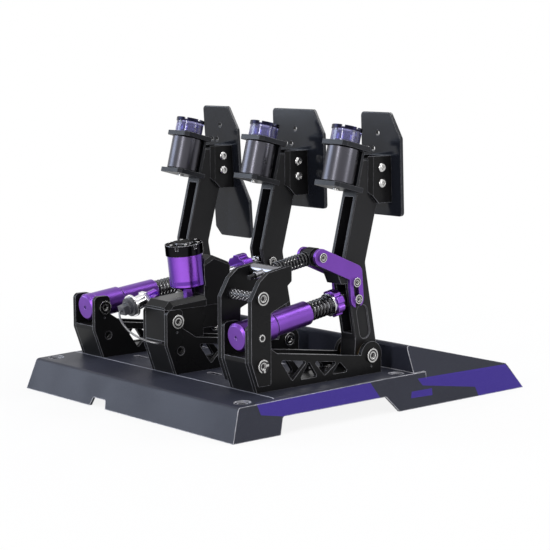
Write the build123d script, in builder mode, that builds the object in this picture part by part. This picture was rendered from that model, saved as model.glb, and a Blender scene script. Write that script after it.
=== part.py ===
from build123d import *
import os
from math import atan2, cos, degrees, hypot, radians, sin, sqrt, tan

# Sim racing pedal set: a bent sheet tray that carries a clutch, a brake and a throttle pedal.
# X runs to the driver's right, the driver sits at -Y and presses the pads towards +Y, Z is up.
# The origin is on the ground under the middle of the tray. All lengths are in millimetres.

# Driving dimensions
tray_length = 382.0
tray_width = 332.0
deck_height = 33.0
sheet = 3.0
pedal_pitch = 120.0
middle_pedal_x = 5.0
pivot_y = -7.0
pivot_height = 51.0
module_width = 38.0
side_plate = 4.0
arm_width = 20.0
pad_face_y = -37.0
pad_face_height = 230.0

# Shared clearances and the overrun of every cut
running_fit = 0.05
side_gap = 0.2
loose_fit = 0.5
overrun = 2.0

pedal_names = ("clutch", "brake", "throttle")
pedal_x = {
    "clutch": middle_pedal_x - pedal_pitch,
    "brake": middle_pedal_x,
    "throttle": middle_pedal_x + pedal_pitch,
}
inner_gap = module_width - 2 * side_plate

# Linkage points in the YZ plane
damper_pivot_y = 135.0
damper_pivot_z = 84.3
damper_pin_y = 6.0
damper_pin_z = {"clutch": 106.0, "throttle": 99.0}
brake_pin_y = 8.0
brake_pin_z = 131.0
brake_stack_y = 83.0
brake_stack_z = 119.3
toggle_pivot_y = 108.0
toggle_pivot_z = 140.0
toggle_eye_y = 52.0
toggle_eye_z = 149.5

# Fastener sizes
pin_radius = 4.0
pivot_radius = 5.0
bolt_head_radius = 6.8
bolt_head_height = 2.2
socket_radius = 3.0
small_screw_radius = 2.4
button_radius = 4.7
button_height = 3.0
link_pin_radius = 3.0
tower_bolt_radius = 3.0
bracket_screws = ((-23.5, 230.0), (-24.0, 215.0))
link_bolt_y = 8.5
link_bolt_z = 122.5


def axis_plane(x, y, z, target_y, target_z):
    """A plane at a point whose normal runs in the YZ plane towards a target."""
    return Plane(origin=(x, y, z), x_dir=(1, 0, 0), z_dir=(0, target_y - y, target_z - z))


def distance(y, z, target_y, target_z):
    return hypot(target_y - y, target_z - z)


def save(builder, name):
    builder.part.label = name
    export_step(builder.part, "parts/" + name + ".step")


os.makedirs("parts", exist_ok=True)

# Tray: one bent sheet with a deck, leaning skirts and a raised heel ramp, open below
ground_half_width = tray_width / 2
rear_y = tray_length / 2
front_y = -tray_length / 2
skirt_lean = 5.0
deck_half_width = ground_half_width - skirt_lean
rear_deck_y = 181.0
rear_deck_height = 30.5
crease_y = 137.5
crease_draw_in = 5.0
crease_half_width = deck_half_width - crease_draw_in
facet_end_y = -10.0
riser_y = -39.0
riser_top = 59.5
heel_tab = 15.0
heel_side_height = 27.0
heel_side_lean = 13.0
front_edge_y = -169.0
front_edge_height = 27.0
bend_radius = 4.0
deck_hole_radius = 4.5
deck_hole_rim = 7.5
deck_hole_rim_depth = 1.0
deck_hole_spacing_x = 297.0
deck_hole_spacing_y = 192.0
deck_hole_centre_y = 70.0
slot_length = 18.0
slot_width = 6.0
slot_rows = (105.0, 24.0)
slot_offset = 22.0
cutout_rear_y = 136.0
cutout_front_y = -14.0
cutout_height = 16.0
cutout_rear_run = 5.0
cutout_front_run = 16.0
cutout_radius = 3.0
notch_x = 41.0
notch_width = 26.0
notch_top_width = 20.5
notch_height = 8.2
notch_radius = 2.0


def deck_top(y):
    """The height of the deck, which falls a little behind the crease."""
    run = max(0, y - crease_y) / (rear_deck_y - crease_y)
    return deck_height + run * (rear_deck_height - deck_height)


def wall_plane(first, second, third, inside):
    """The plane through three points, with its normal away from an inside point."""
    a, b, c, core = Vector(*first), Vector(*second), Vector(*third), Vector(*inside)
    normal = (b - a).cross(c - a).normalized()
    if normal.dot(core - a) > 0:
        normal = normal * -1
    return Plane(origin=a, z_dir=normal)


def tray_walls():
    """The outer faces of the deck body and of the heel ramp, as planes."""
    core_deck = (0, 0, deck_height / 2)
    core_heel = (0, (riser_y + front_edge_y) / 2, deck_height / 2)
    deck, heel = [], []
    for side in (-1, 1):
        ground, edge = side * ground_half_width, side * deck_half_width
        skirt = ((ground, rear_y, 0), (ground, front_y, 0), (edge, rear_y, deck_height))
        deck.append(wall_plane(*skirt, core_deck))
        heel.append(wall_plane(*skirt, core_heel))
        deck.append(wall_plane(
            (edge, facet_end_y, deck_height),
            (side * crease_half_width, crease_y, deck_height),
            (edge, rear_deck_y, rear_deck_height), core_deck))
        heel_x = ground + (edge - ground) * heel_side_height / deck_height
        heel.append(wall_plane(
            (heel_x, riser_y, heel_side_height),
            (heel_x, front_edge_y, heel_side_height - bend_radius / 2),
            (heel_x - side * heel_side_lean, riser_y, riser_top), core_heel))
    half = deck_half_width
    deck.append(wall_plane((-half, rear_y, 0), (half, rear_y, 0),
                           (half, rear_deck_y, rear_deck_height), core_deck))
    deck.append(wall_plane((-half, crease_y, deck_height), (half, crease_y, deck_height),
                           (half, rear_deck_y, rear_deck_height), core_deck))
    heel.append(wall_plane((-half, riser_y, 0), (half, riser_y, 0),
                           (half, riser_y, riser_top), core_heel))
    heel.append(wall_plane((-half, riser_y, riser_top), (half, riser_y, riser_top),
                           (half, front_edge_y, front_edge_height), core_heel))
    heel.append(wall_plane((-half, front_y, 0), (half, front_y, 0),
                           (half, front_edge_y, front_edge_height), core_heel))
    return deck, heel


def tray_body(inset):
    """The space inside the tray's walls, drawn in by an inset."""
    deck_walls, heel_walls = tray_walls()
    bottom = -overrun if inset else 0
    deck_front = riser_y - heel_tab
    with BuildPart() as deck:
        with BuildSketch(Plane.XY.offset(bottom)):
            with Locations((0, (rear_y + deck_front) / 2)):
                Rectangle(tray_width, rear_y - deck_front)
        extrude(amount=deck_height - inset - bottom)
        for wall in deck_walls:
            split(bisect_by=wall.offset(-inset), keep=Keep.BOTTOM)
    with BuildPart() as heel:
        with BuildSketch(Plane.XY.offset(bottom)):
            with Locations((0, (front_y + riser_y) / 2)):
                Rectangle(tray_width, riser_y - front_y)
        extrude(amount=riser_top - bottom)
        for wall in heel_walls:
            split(bisect_by=wall.offset(-inset), keep=Keep.BOTTOM)
    return deck.part + heel.part


with BuildPart() as tray:
    add(tray_body(0))
    long_bends = tray.edges().filter_by(Axis.X).filter_by(
        lambda edge: edge.length > deck_half_width and edge.center().Z > rear_deck_height - sheet)
    fillet(long_bends.filter_by(lambda edge: edge.center().Y > rear_deck_y - sheet), bend_radius)
    fillet(tray.edges().filter_by(Axis.X).filter_by(
        lambda edge: edge.center().Z > riser_top - sheet), bend_radius)
    add(tray_body(sheet), mode=Mode.SUBTRACT)
    for side in (-1, 1):
        hole_y = deck_hole_centre_y + side * deck_hole_spacing_y / 2
        with Locations((0, hole_y, deck_top(hole_y))):
            with GridLocations(deck_hole_spacing_x, 0, 2, 1):
                CounterBoreHole(deck_hole_radius, deck_hole_rim, deck_hole_rim_depth,
                                depth=2 * sheet)
    for row_y in slot_rows:
        for gap_x in (middle_pedal_x - pedal_pitch / 2, middle_pedal_x + pedal_pitch / 2):
            for side in (-1, 1):
                with BuildSketch(Plane.XY.offset(deck_height)):
                    with Locations((gap_x + side * slot_offset, row_y)):
                        SlotOverall(slot_length, slot_width)
                extrude(amount=-2 * sheet, mode=Mode.SUBTRACT)
    with BuildSketch(Plane.YZ.offset(-ground_half_width - overrun)):
        with BuildLine():
            Polyline((cutout_rear_y, -overrun), (cutout_rear_y, 0),
                     (cutout_rear_y - cutout_rear_run, cutout_height),
                     (cutout_front_y + cutout_front_run, cutout_height),
                     (cutout_front_y, 0), (cutout_front_y, -overrun), close=True)
        make_face()
        fillet(vertices().group_by(Axis.Y)[-1], cutout_radius)
    extrude(amount=tray_width + 2 * overrun, mode=Mode.SUBTRACT)
    with BuildSketch(Plane.XZ.offset(-rear_y - overrun)):
        with BuildLine():
            Polyline((notch_x - notch_width / 2, -overrun), (notch_x - notch_width / 2, 0),
                     (notch_x - notch_top_width / 2, notch_height),
                     (notch_x + notch_top_width / 2, notch_height),
                     (notch_x + notch_width / 2, 0), (notch_x + notch_width / 2, -overrun),
                     close=True)
        make_face()
        fillet(vertices().group_by(Axis.Y)[-1], notch_radius)
    extrude(amount=rear_y - rear_deck_y + overrun, mode=Mode.SUBTRACT)
save(tray, "base_tray")

# Side plates: two for each pedal, with a rear horn, a pocketed rail and a pivot boss
foot_rear_y = 136.5
plate_rear_y = 147.0
chamfer_top = 62.0
horn_top = 96.0
horn_front_y = 128.0
horn_root_y = 112.0
horn_root_height = 67.0
rail_front_y = 11.0
rail_front_height = 53.0
boss_radius = 13.5
front_foot_y = -20.0
horn_radius = 5.0
rail_margin = 6.5
pocket_floor = 39.0
pocket_radius = 1.5
# Each pocket: its two corners on one chord and its tip on the other, as shares of the rail's length
pocket_shares = ((0.03, 0.36, 0.18, True), (0.27, 0.49, 0.38, False),
                 (0.44, 0.74, 0.58, True), (0.66, 0.88, 0.77, False))
side_screw_y = 130.5
side_screw_z = 55.5
tower_bolt_y = 135.5
tower_bolt_low_z = 59.0
side_screw_head_radius = 4.2
side_screw_head_height = 3.0
side_screw_length = 10.0
index_dot_radius = 1.0
index_dot_drop = 10.5
index_dot_depth = 1.0


def rail_top(y):
    """The height of the side plate's upper chord at a place along the rail."""
    run = (y - rail_front_y) / (horn_root_y - rail_front_y)
    return rail_front_height + run * (horn_root_height - rail_front_height)


def side_plate_outline():
    """The side plate's face, in the plane where local x is Y and local y is Z."""
    with BuildSketch() as face:
        with BuildLine():
            Polyline((front_foot_y, deck_height), (foot_rear_y, deck_height),
                     (plate_rear_y, chamfer_top), (plate_rear_y, horn_top),
                     (horn_front_y, horn_top), (horn_front_y, horn_root_height + horn_radius * 2),
                     (horn_root_y, horn_root_height), (rail_front_y, rail_front_height),
                     (pivot_y, pivot_height), (front_foot_y, pivot_height), close=True)
        make_face()
        with Locations((pivot_y, pivot_height)):
            Circle(boss_radius)
        fillet(face.vertices().group_by(Axis.Y)[-1], horn_radius)
    return face.sketch


def pocket_corners(share_set):
    """The three corners of one truss pocket."""
    start, end, tip, hangs_down = share_set
    length = horn_root_y - rail_front_y
    ends = [horn_root_y - share * length for share in (start, end)]
    tip_y = horn_root_y - tip * length
    if hangs_down:
        return [(y, rail_top(y) - rail_margin) for y in ends] + [(tip_y, pocket_floor)]
    return [(y, pocket_floor) for y in ends] + [(tip_y, rail_top(tip_y) - rail_margin)]


def side_screw(name):
    """The place of the screw that joins plate and cross block, and its radius in the plate."""
    if name == "clutch":
        return tower_bolt_y, tower_bolt_low_z, tower_bolt_radius
    return side_screw_y, side_screw_z, side_screw_head_radius


def make_side_plates(name):
    centre = pedal_x[name]
    with BuildPart() as plates:
        for side in (-1, 1):
            inner = centre + side * inner_gap / 2
            outer = centre + side * module_width / 2
            face_plane = Plane.YZ.offset(inner)
            with BuildSketch(face_plane):
                add(side_plate_outline())
            extrude(amount=side * side_plate)
            for share_set in pocket_shares:
                with BuildSketch(face_plane):
                    with BuildLine():
                        Polyline(*pocket_corners(share_set), close=True)
                    make_face()
                    fillet(vertices(), pocket_radius)
                extrude(amount=side * side_plate, mode=Mode.SUBTRACT)
            screw_y, screw_z, screw_hole = side_screw(name)
            holes = ((pivot_y, pivot_height, pivot_radius + running_fit),
                     (damper_pivot_y, damper_pivot_z, pin_radius + running_fit),
                     (screw_y, screw_z, screw_hole + running_fit))
            for hole_y, hole_z, hole_radius in holes:
                with BuildSketch(face_plane):
                    with Locations((hole_y, hole_z)):
                        Circle(hole_radius)
                extrude(amount=side * side_plate, mode=Mode.SUBTRACT)
            with BuildSketch(Plane.YZ.offset(outer)):
                with Locations((pivot_y, pivot_height - index_dot_drop),
                               (damper_pivot_y, damper_pivot_z - index_dot_drop)):
                    Circle(index_dot_radius)
            extrude(amount=-side * index_dot_depth, mode=Mode.SUBTRACT)
    save(plates, name + "_side_plates")


for pedal in pedal_names:
    make_side_plates(pedal)

# Base blocks: a floor between the side plates with a rear cross block
floor_height = 5.0
floor_front_y = 9.0
cross_block_front_y = 118.0
cross_block_top = 66.0
base_screw_radius = 3.0
base_screw_head_radius = 5.0
base_screw_head_height = 5.0
base_screw_ys = (30.0, 104.0)

with BuildPart() as base_blocks:
    for pedal in pedal_names:
        centre = pedal_x[pedal]
        with BuildSketch(Plane.YZ.offset(centre)):
            with BuildLine():
                Polyline((floor_front_y, deck_height), (foot_rear_y, deck_height),
                         (plate_rear_y, chamfer_top), (plate_rear_y, cross_block_top),
                         (cross_block_front_y, cross_block_top),
                         (cross_block_front_y, deck_height + floor_height),
                         (floor_front_y, deck_height + floor_height), close=True)
            make_face()
        extrude(amount=inner_gap / 2, both=True)
        with BuildSketch(Plane.XY.offset(deck_height)):
            with Locations(*[(centre, y) for y in base_screw_ys]):
                Circle(base_screw_radius + running_fit)
        extrude(amount=floor_height, mode=Mode.SUBTRACT)
        for side in (-1, 1):
            screw = tower_bolt_radius if pedal == "clutch" else small_screw_radius
            with BuildSketch(Plane.YZ.offset(centre + side * inner_gap / 2)):
                with Locations(side_screw(pedal)[:2]):
                    Circle(screw + running_fit)
            extrude(amount=-side * side_screw_length, mode=Mode.SUBTRACT)
save(base_blocks, "base_blocks")

# Pivot shafts: one through each pedal's side plates, with a socket head at both ends
socket_depth = 1.6
head_ring_radius = 4.3
head_ring_width = 0.9
head_ring_depth = 0.5


def headed_pin_steps(radius, head_radius, half_length):
    """Coaxial discs of a pin with a head at each end: start, length and radius along X."""
    return ((-half_length - bolt_head_height, bolt_head_height, head_radius),
            (-half_length, 2 * half_length, radius),
            (half_length, bolt_head_height, head_radius))


with BuildPart() as pivot_shafts:
    for pedal in pedal_names:
        steps = headed_pin_steps(pivot_radius, bolt_head_radius, module_width / 2)
        for start, length, radius in steps:
            with BuildSketch(Plane.YZ.offset(pedal_x[pedal] + start)):
                with Locations((pivot_y, pivot_height)):
                    Circle(radius)
            extrude(amount=length)
        for side in (-1, 1):
            end = pedal_x[pedal] + side * (module_width / 2 + bolt_head_height)
            with BuildSketch(Plane.YZ.offset(end)):
                with Locations((pivot_y, pivot_height)):
                    RegularPolygon(socket_radius, 6)
            extrude(amount=-side * socket_depth, mode=Mode.SUBTRACT)
            with BuildSketch(Plane.YZ.offset(end)):
                with Locations((pivot_y, pivot_height)):
                    Circle(head_ring_radius + head_ring_width)
                    Circle(head_ring_radius, mode=Mode.SUBTRACT)
            extrude(amount=-side * head_ring_depth, mode=Mode.SUBTRACT)
save(pivot_shafts, "pivot_shafts")

# Pivot bushes: a flanged sleeve in each end of the arm's bore
bush_sleeve_radius = 7.0
bush_sleeve_length = 8.0
bush_flange_radius = 10.0

with BuildPart() as pivot_bushes:
    for pedal in pedal_names:
        for side in (-1, 1):
            wall_x = pedal_x[pedal] + side * inner_gap / 2
            flange_length = (inner_gap - arm_width) / 2 - side_gap
            for radius, length in ((bush_flange_radius, flange_length),
                                   (bush_sleeve_radius, flange_length + bush_sleeve_length)):
                with BuildSketch(Plane.YZ.offset(wall_x)):
                    with Locations((pivot_y, pivot_height)):
                        Circle(radius)
                        Circle(pivot_radius + running_fit, mode=Mode.SUBTRACT)
                extrude(amount=-side * length)
save(pivot_bushes, "pivot_bushes")

# Trunnion pins: the damper of each outer pedal swings on one, the brake block is held by one
clutch_pin_reach = 6.0
clutch_pin_end_radius = 3.3
clutch_pin_socket_radius = 1.8

with BuildPart() as trunnion_pins:
    for pedal in pedal_names:
        if pedal == "clutch":
            half = module_width / 2 + clutch_pin_reach
            steps = ((-half, 2 * half, clutch_pin_end_radius),
                     (-module_width / 2, module_width, pin_radius))
        else:
            steps = headed_pin_steps(pin_radius, bolt_head_radius, module_width / 2)
        for start, length, radius in steps:
            with BuildSketch(Plane.YZ.offset(pedal_x[pedal] + start)):
                with Locations((damper_pivot_y, damper_pivot_z)):
                    Circle(radius)
            extrude(amount=length)
        for side in (-1, 1):
            reach, socket = bolt_head_height, socket_radius
            if pedal == "clutch":
                reach, socket = clutch_pin_reach, clutch_pin_socket_radius
            end = pedal_x[pedal] + side * (module_width / 2 + reach)
            with BuildSketch(Plane.YZ.offset(end)):
                with Locations((damper_pivot_y, damper_pivot_z)):
                    RegularPolygon(socket, 6)
            extrude(amount=-side * socket_depth, mode=Mode.SUBTRACT)
save(trunnion_pins, "trunnion_pins")

# Arms: a dog-leg bar, leaning back to the knee and forward above it, with a channel down its back
arm_foot_height = 66.0
arm_foot_rear_y = 5.5
knee_rear_y = 20.5
knee_rear_height = 144.0
arm_top = 238.0
arm_top_rear_y = -3.5
arm_top_front_y = -31.0
arm_top_front_height = 227.0
knee_front_y = -7.3
knee_front_height = 140.0
arm_foot_front_y = -21.4
knee_radius = 9.0
channel_width = 12.5
channel_web = 7.0
channel_foot = 72.0
channel_top = 203.0
channel_end_radius = 4.0
recess_foot = 66.0
recess_top = {"clutch": 100.0, "brake": 100.0, "throttle": 93.0}
recess_width = 14.0
recess_depth = 1.5
arm_edge = 0.8
haptic_height = 218.0
haptic_screw_radius = 1.9
haptic_screw_depth = 8.0
haptic_screw_levels = (3.0, 16.0)


def arm_rear_y(z):
    """Where the arm's rear face lies at a height."""
    if z < knee_rear_height:
        run = (z - arm_foot_height) / (knee_rear_height - arm_foot_height)
        return arm_foot_rear_y + run * (knee_rear_y - arm_foot_rear_y)
    run = (z - knee_rear_height) / (arm_top - knee_rear_height)
    return knee_rear_y + run * (arm_top_rear_y - knee_rear_y)


def arm_front_y(z):
    """Where the arm's front face lies at a height."""
    if z < knee_front_height:
        run = (z - arm_foot_height) / (knee_front_height - arm_foot_height)
        return arm_foot_front_y + run * (knee_front_y - arm_foot_front_y)
    run = (z - knee_front_height) / (arm_top_front_height - knee_front_height)
    return knee_front_y + run * (arm_top_front_y - knee_front_y)


def arm_pin(name):
    """The place of the damper pin or push rod pin in an arm."""
    if name == "brake":
        return brake_pin_y, brake_pin_z
    return damper_pin_y, damper_pin_z[name]


def haptic_plane(name):
    """On the arm's upper rear face: X across, Y away from the arm, Z up along it."""
    return Plane(origin=(pedal_x[name], arm_rear_y(haptic_height), haptic_height),
                 x_dir=(1, 0, 0),
                 z_dir=(0, arm_top_rear_y - knee_rear_y, arm_top - knee_rear_height))


def haptic_back_plane(name):
    """The arm's upper rear face, with its normal away from the arm."""
    frame = haptic_plane(name)
    return Plane(origin=frame.origin, x_dir=(1, 0, 0), z_dir=frame.y_dir)


def haptic_screw_places():
    """The screws through the back plate; in its plane the arm's upward way is -Y."""
    return [(0, -level) for level in haptic_screw_levels]


def make_arm(name):
    centre = pedal_x[name]
    middle = Plane.YZ.offset(centre)
    with BuildPart() as arm:
        with BuildSketch(middle) as outline:
            with BuildLine():
                Polyline((arm_foot_rear_y, arm_foot_height), (knee_rear_y, knee_rear_height),
                         (arm_top_rear_y, arm_top), (arm_top_front_y, arm_top),
                         (arm_top_front_y, arm_top_front_height),
                         (knee_front_y, knee_front_height),
                         (arm_foot_front_y, arm_foot_height),
                         (pivot_y - boss_radius, pivot_height), (pivot_y, pivot_height),
                         (pivot_y + boss_radius, pivot_height), close=True)
            make_face()
            knees = outline.vertices().filter_by(
                lambda corner: knee_front_height - sheet < corner.Y < knee_rear_height + sheet)
            fillet(knees, knee_radius)
            with Locations((pivot_y, pivot_height)):
                Circle(boss_radius)
        extrude(amount=arm_width / 2, both=True)
        rim = arm.faces().filter_by(Axis.X).edges().filter_by(
            lambda edge: edge.center().Z > arm_foot_height + overrun)
        chamfer(rim, arm_edge)
        with BuildSketch(middle):
            with BuildLine():
                Polyline((arm_front_y(channel_foot) + channel_web, channel_foot),
                         (arm_front_y(knee_front_height) + channel_web, knee_front_height),
                         (arm_front_y(channel_top) + channel_web, channel_top),
                         (knee_rear_y + overrun, channel_top),
                         (knee_rear_y + overrun, channel_foot), close=True)
            make_face()
            levels = vertices().group_by(Axis.Y)
            fillet([levels[end].sort_by(Axis.X)[0] for end in (0, -1)], channel_end_radius)
        extrude(amount=channel_width / 2, both=True, mode=Mode.SUBTRACT)
        recess_z = (recess_foot + recess_top[name]) / 2
        recess_y = (arm_rear_y(recess_z) + arm_front_y(recess_z)) / 2
        recess_lean = degrees(atan2(arm_rear_y(knee_front_height) - arm_rear_y(recess_z),
                                    knee_front_height - recess_z))
        for side in (-1, 1):
            with BuildSketch(Plane.YZ.offset(centre + side * arm_width / 2)):
                with Locations((recess_y, recess_z)):
                    SlotOverall(recess_top[name] - recess_foot, recess_width,
                                rotation=90 - recess_lean)
            extrude(amount=-side * recess_depth, mode=Mode.SUBTRACT)
        pin_y, pin_z = arm_pin(name)
        holes = [(pivot_y, pivot_height, bush_sleeve_radius + running_fit),
                 (pin_y, pin_z, link_pin_radius + running_fit)]
        holes += [(y, z, small_screw_radius + running_fit) for y, z in bracket_screws]
        if name == "clutch":
            holes.append((link_bolt_y, link_bolt_z, link_pin_radius + running_fit))
        for hole_y, hole_z, hole_radius in holes:
            with BuildSketch(middle):
                with Locations((hole_y, hole_z)):
                    Circle(hole_radius)
            extrude(amount=arm_width / 2 + overrun, both=True, mode=Mode.SUBTRACT)
        with BuildSketch(haptic_back_plane(name)):
            with Locations(*haptic_screw_places()):
                Circle(haptic_screw_radius + running_fit)
        extrude(amount=-haptic_screw_depth, mode=Mode.SUBTRACT)
    save(arm, name + "_arm")


for pedal in pedal_names:
    make_arm(pedal)

# Pads: flat plates with cut corners, leaning a little away from the driver at the top
pad_thickness = 4.0
pad_corner_radius = 4.0
pad_edge = 0.6
pad_bottom = 182.5
pad_top = 282.0
throttle_pad_bottom = 142.0
clutch_pad_width = 54.0
brake_pad_width = 77.0
cut_width = 14.0
cut_height = 24.5
throttle_top_left = 31.5
throttle_top_right = -24.5
throttle_low_left = 22.0
throttle_low_right = -37.5
throttle_step_top = 206.0
throttle_step_bottom = 182.0
throttle_foot_cut = 9.0
pad_hole_radius = 2.6
pad_hole_height = 262.0
pad_hole_shift = 4.0
pad_pair_height = 246.8
pad_pair_offsets = (18.5, 10.5)
pad_pair_radius = 2.6
pad_screw_heights = (206.0, 234.0)
pad_screw_shift = 7.0
pad_screw_radius = 2.0
pad_screw_head_radius = 4.0
pad_screw_head_height = 2.0
pad_degrees = {"clutch": 2.0, "brake": 2.0, "throttle": 4.0}


def pad_plane(name):
    """The plane of a pad's rear face, with its normal towards the driver."""
    lean = radians(pad_degrees[name])
    return Plane(origin=(pedal_x[name], pad_face_y, pad_face_height),
                 x_dir=(1, 0, 0), z_dir=(0, -cos(lean), sin(lean)))


def pad_outline(name):
    """The corners of a pad in its own plane, measured from the height of its middle."""
    low, high = pad_bottom - pad_face_height, pad_top - pad_face_height
    if name == "throttle":
        low = throttle_pad_bottom - pad_face_height
        step_high = throttle_step_top - pad_face_height
        step_low = throttle_step_bottom - pad_face_height
        return ((throttle_top_left, high), (throttle_top_right + cut_width, high),
                (throttle_top_right, high - cut_height), (throttle_top_right, step_high),
                (throttle_low_right, step_low), (throttle_low_right, low),
                (throttle_low_left - throttle_foot_cut, low),
                (throttle_low_left, low + throttle_foot_cut), (throttle_low_left, step_low),
                (throttle_top_left, step_high))
    half = (brake_pad_width if name == "brake" else clutch_pad_width) / 2
    return ((half, high), (-half + cut_width, high), (-half, high - cut_height),
            (-half, low), (half - cut_width, low), (half, low + cut_height))


def make_pad(name):
    plane = pad_plane(name)
    with BuildPart() as pad:
        with BuildSketch(plane):
            with BuildLine():
                Polyline(*pad_outline(name), close=True)
            make_face()
            fillet(vertices(), pad_corner_radius)
        extrude(amount=pad_thickness)
        along = Axis(plane.origin, plane.z_dir)
        chamfer(pad.faces().sort_by(along)[0].edges() + pad.faces().sort_by(along)[-1].edges(),
                pad_edge)
        with BuildSketch(plane):
            with Locations((pad_hole_shift, pad_hole_height - pad_face_height)):
                Circle(pad_hole_radius)
            with Locations(*[(shift, pad_pair_height - pad_face_height)
                             for shift in pad_pair_offsets]):
                Circle(pad_pair_radius)
            with Locations(*pad_screw_places()):
                Circle(pad_screw_radius + running_fit)
        extrude(amount=pad_thickness, mode=Mode.SUBTRACT)
        with BuildSketch(plane.offset(pad_thickness - pad_screw_head_height)):
            with Locations(*pad_screw_places()):
                Circle(pad_screw_head_radius + running_fit)
        extrude(amount=pad_screw_head_height, mode=Mode.SUBTRACT)
    save(pad, name + "_pad")


def pad_screw_places():
    """The four screws of a pad, in the pad's plane."""
    return [(side * pad_screw_shift, height - pad_face_height)
            for side in (-1, 1) for height in pad_screw_heights]


for pedal in pedal_names:
    make_pad(pedal)

# Pad brackets: a machined channel that holds the pad and straddles the arm's top
bracket_wall = 4.0
bracket_bottom = 196.0
bracket_top = 241.0
bracket_rear_y = -9.5
bracket_bevel = 3.8
bracket_foot_cut = 11.0
bracket_reach = 10.0
bracket_half = arm_width / 2 + running_fit + bracket_wall


def make_pad_bracket(name):
    centre = pedal_x[name]
    front = pad_face_y - bracket_reach
    with BuildPart() as bracket:
        with BuildSketch(Plane.XY.offset(bracket_bottom)):
            with BuildLine():
                Polyline((centre - bracket_half, front), (centre + bracket_half, front),
                         (centre + bracket_half, bracket_rear_y - bracket_bevel),
                         (centre + bracket_half - bracket_bevel, bracket_rear_y),
                         (centre - bracket_half + bracket_bevel, bracket_rear_y),
                         (centre - bracket_half, bracket_rear_y - bracket_bevel), close=True)
            make_face()
        extrude(amount=bracket_top - bracket_bottom)
        with BuildSketch(Plane.XY.offset(bracket_bottom)):
            with Locations((centre, (arm_top_front_y - side_gap + bracket_rear_y) / 2)):
                Rectangle(arm_width + 2 * running_fit,
                          bracket_rear_y - arm_top_front_y + side_gap)
        extrude(amount=bracket_top - bracket_bottom, mode=Mode.SUBTRACT)
        with BuildSketch(Plane.YZ.offset(centre)):
            with BuildLine():
                Polyline((bracket_rear_y, bracket_bottom),
                         (bracket_rear_y - bracket_foot_cut, bracket_bottom),
                         (bracket_rear_y, bracket_bottom + bracket_foot_cut), close=True)
            make_face()
        extrude(amount=bracket_half, both=True, mode=Mode.SUBTRACT)
        split(bisect_by=pad_plane(name), keep=Keep.BOTTOM)
        with BuildSketch(Plane.YZ.offset(centre)):
            with Locations(*bracket_screws):
                Circle(small_screw_radius + running_fit)
        extrude(amount=bracket_half, both=True, mode=Mode.SUBTRACT)
        with BuildSketch(pad_plane(name)):
            with Locations(*pad_screw_places()):
                Circle(pad_screw_radius + running_fit)
        extrude(amount=-bracket_reach, mode=Mode.SUBTRACT)
    save(bracket, name + "_pad_bracket")


for pedal in pedal_names:
    make_pad_bracket(pedal)

# Haptic brackets: a back plate on the arm's rear face with two flanges that hold the motor
haptic_back = 2.5
haptic_width = 35.0
haptic_depth = 34.0
haptic_corner = 3.6
flange_low = -11.0
flange_high = 33.0
flange_thickness = 4.6
motor_radius = 15.5
motor_centre = haptic_back + motor_radius + side_gap
neck_radius = 13.9
cap_radius = 14.2
bracket_plate_half = 10.0
flush_head_radius = 3.4
flush_head_height = 1.5


def make_haptic_bracket(name):
    frame = haptic_plane(name)
    with BuildPart() as bracket:
        with BuildSketch(frame.offset(flange_low)):
            with Locations((0, haptic_back / 2)):
                Rectangle(2 * bracket_plate_half, haptic_back)
        extrude(amount=flange_high - flange_low)
        for start in (flange_low, flange_high - flange_thickness):
            with BuildSketch(frame.offset(start)):
                with Locations((0, haptic_depth / 2)):
                    Rectangle(haptic_width, haptic_depth)
                chamfer(vertices().group_by(Axis.Y)[-1], haptic_corner)
            extrude(amount=flange_thickness)
        with BuildSketch(frame.offset(flange_high - flange_thickness)):
            with Locations((0, motor_centre)):
                Circle(neck_radius + running_fit)
        extrude(amount=flange_thickness, mode=Mode.SUBTRACT)
        with BuildSketch(frame.offset(flange_low)):
            with Locations((0, motor_centre)):
                Circle(haptic_screw_radius + running_fit)
        extrude(amount=flange_thickness, mode=Mode.SUBTRACT)
        with BuildSketch(haptic_back_plane(name)):
            with Locations(*haptic_screw_places()):
                Circle(haptic_screw_radius + running_fit)
        extrude(amount=haptic_back, mode=Mode.SUBTRACT)
        with BuildSketch(haptic_back_plane(name).offset(haptic_back - flush_head_height)):
            with Locations(*haptic_screw_places()):
                Circle(flush_head_radius + running_fit)
        extrude(amount=flush_head_height, mode=Mode.SUBTRACT)
    save(bracket, name + "_haptic_bracket")


# Haptic motors: a round body between the flanges, its neck, and the notched ring on the cap
motor_edge = 1.0
cap_height = 11.5
cap_wall = 1.6
rim_height = 3.6
rim_radius = 14.9
rim_wall = 2.6
rim_lobes = 6
rim_notch = 3.4
rim_notch_depth = 1.8
rotor_radius = 10.0
rotor_height = 5.0
rotor_lift = 2.0
rotor_shaft_radius = 1.5
rotor_shaft_depth = 5.0


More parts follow.
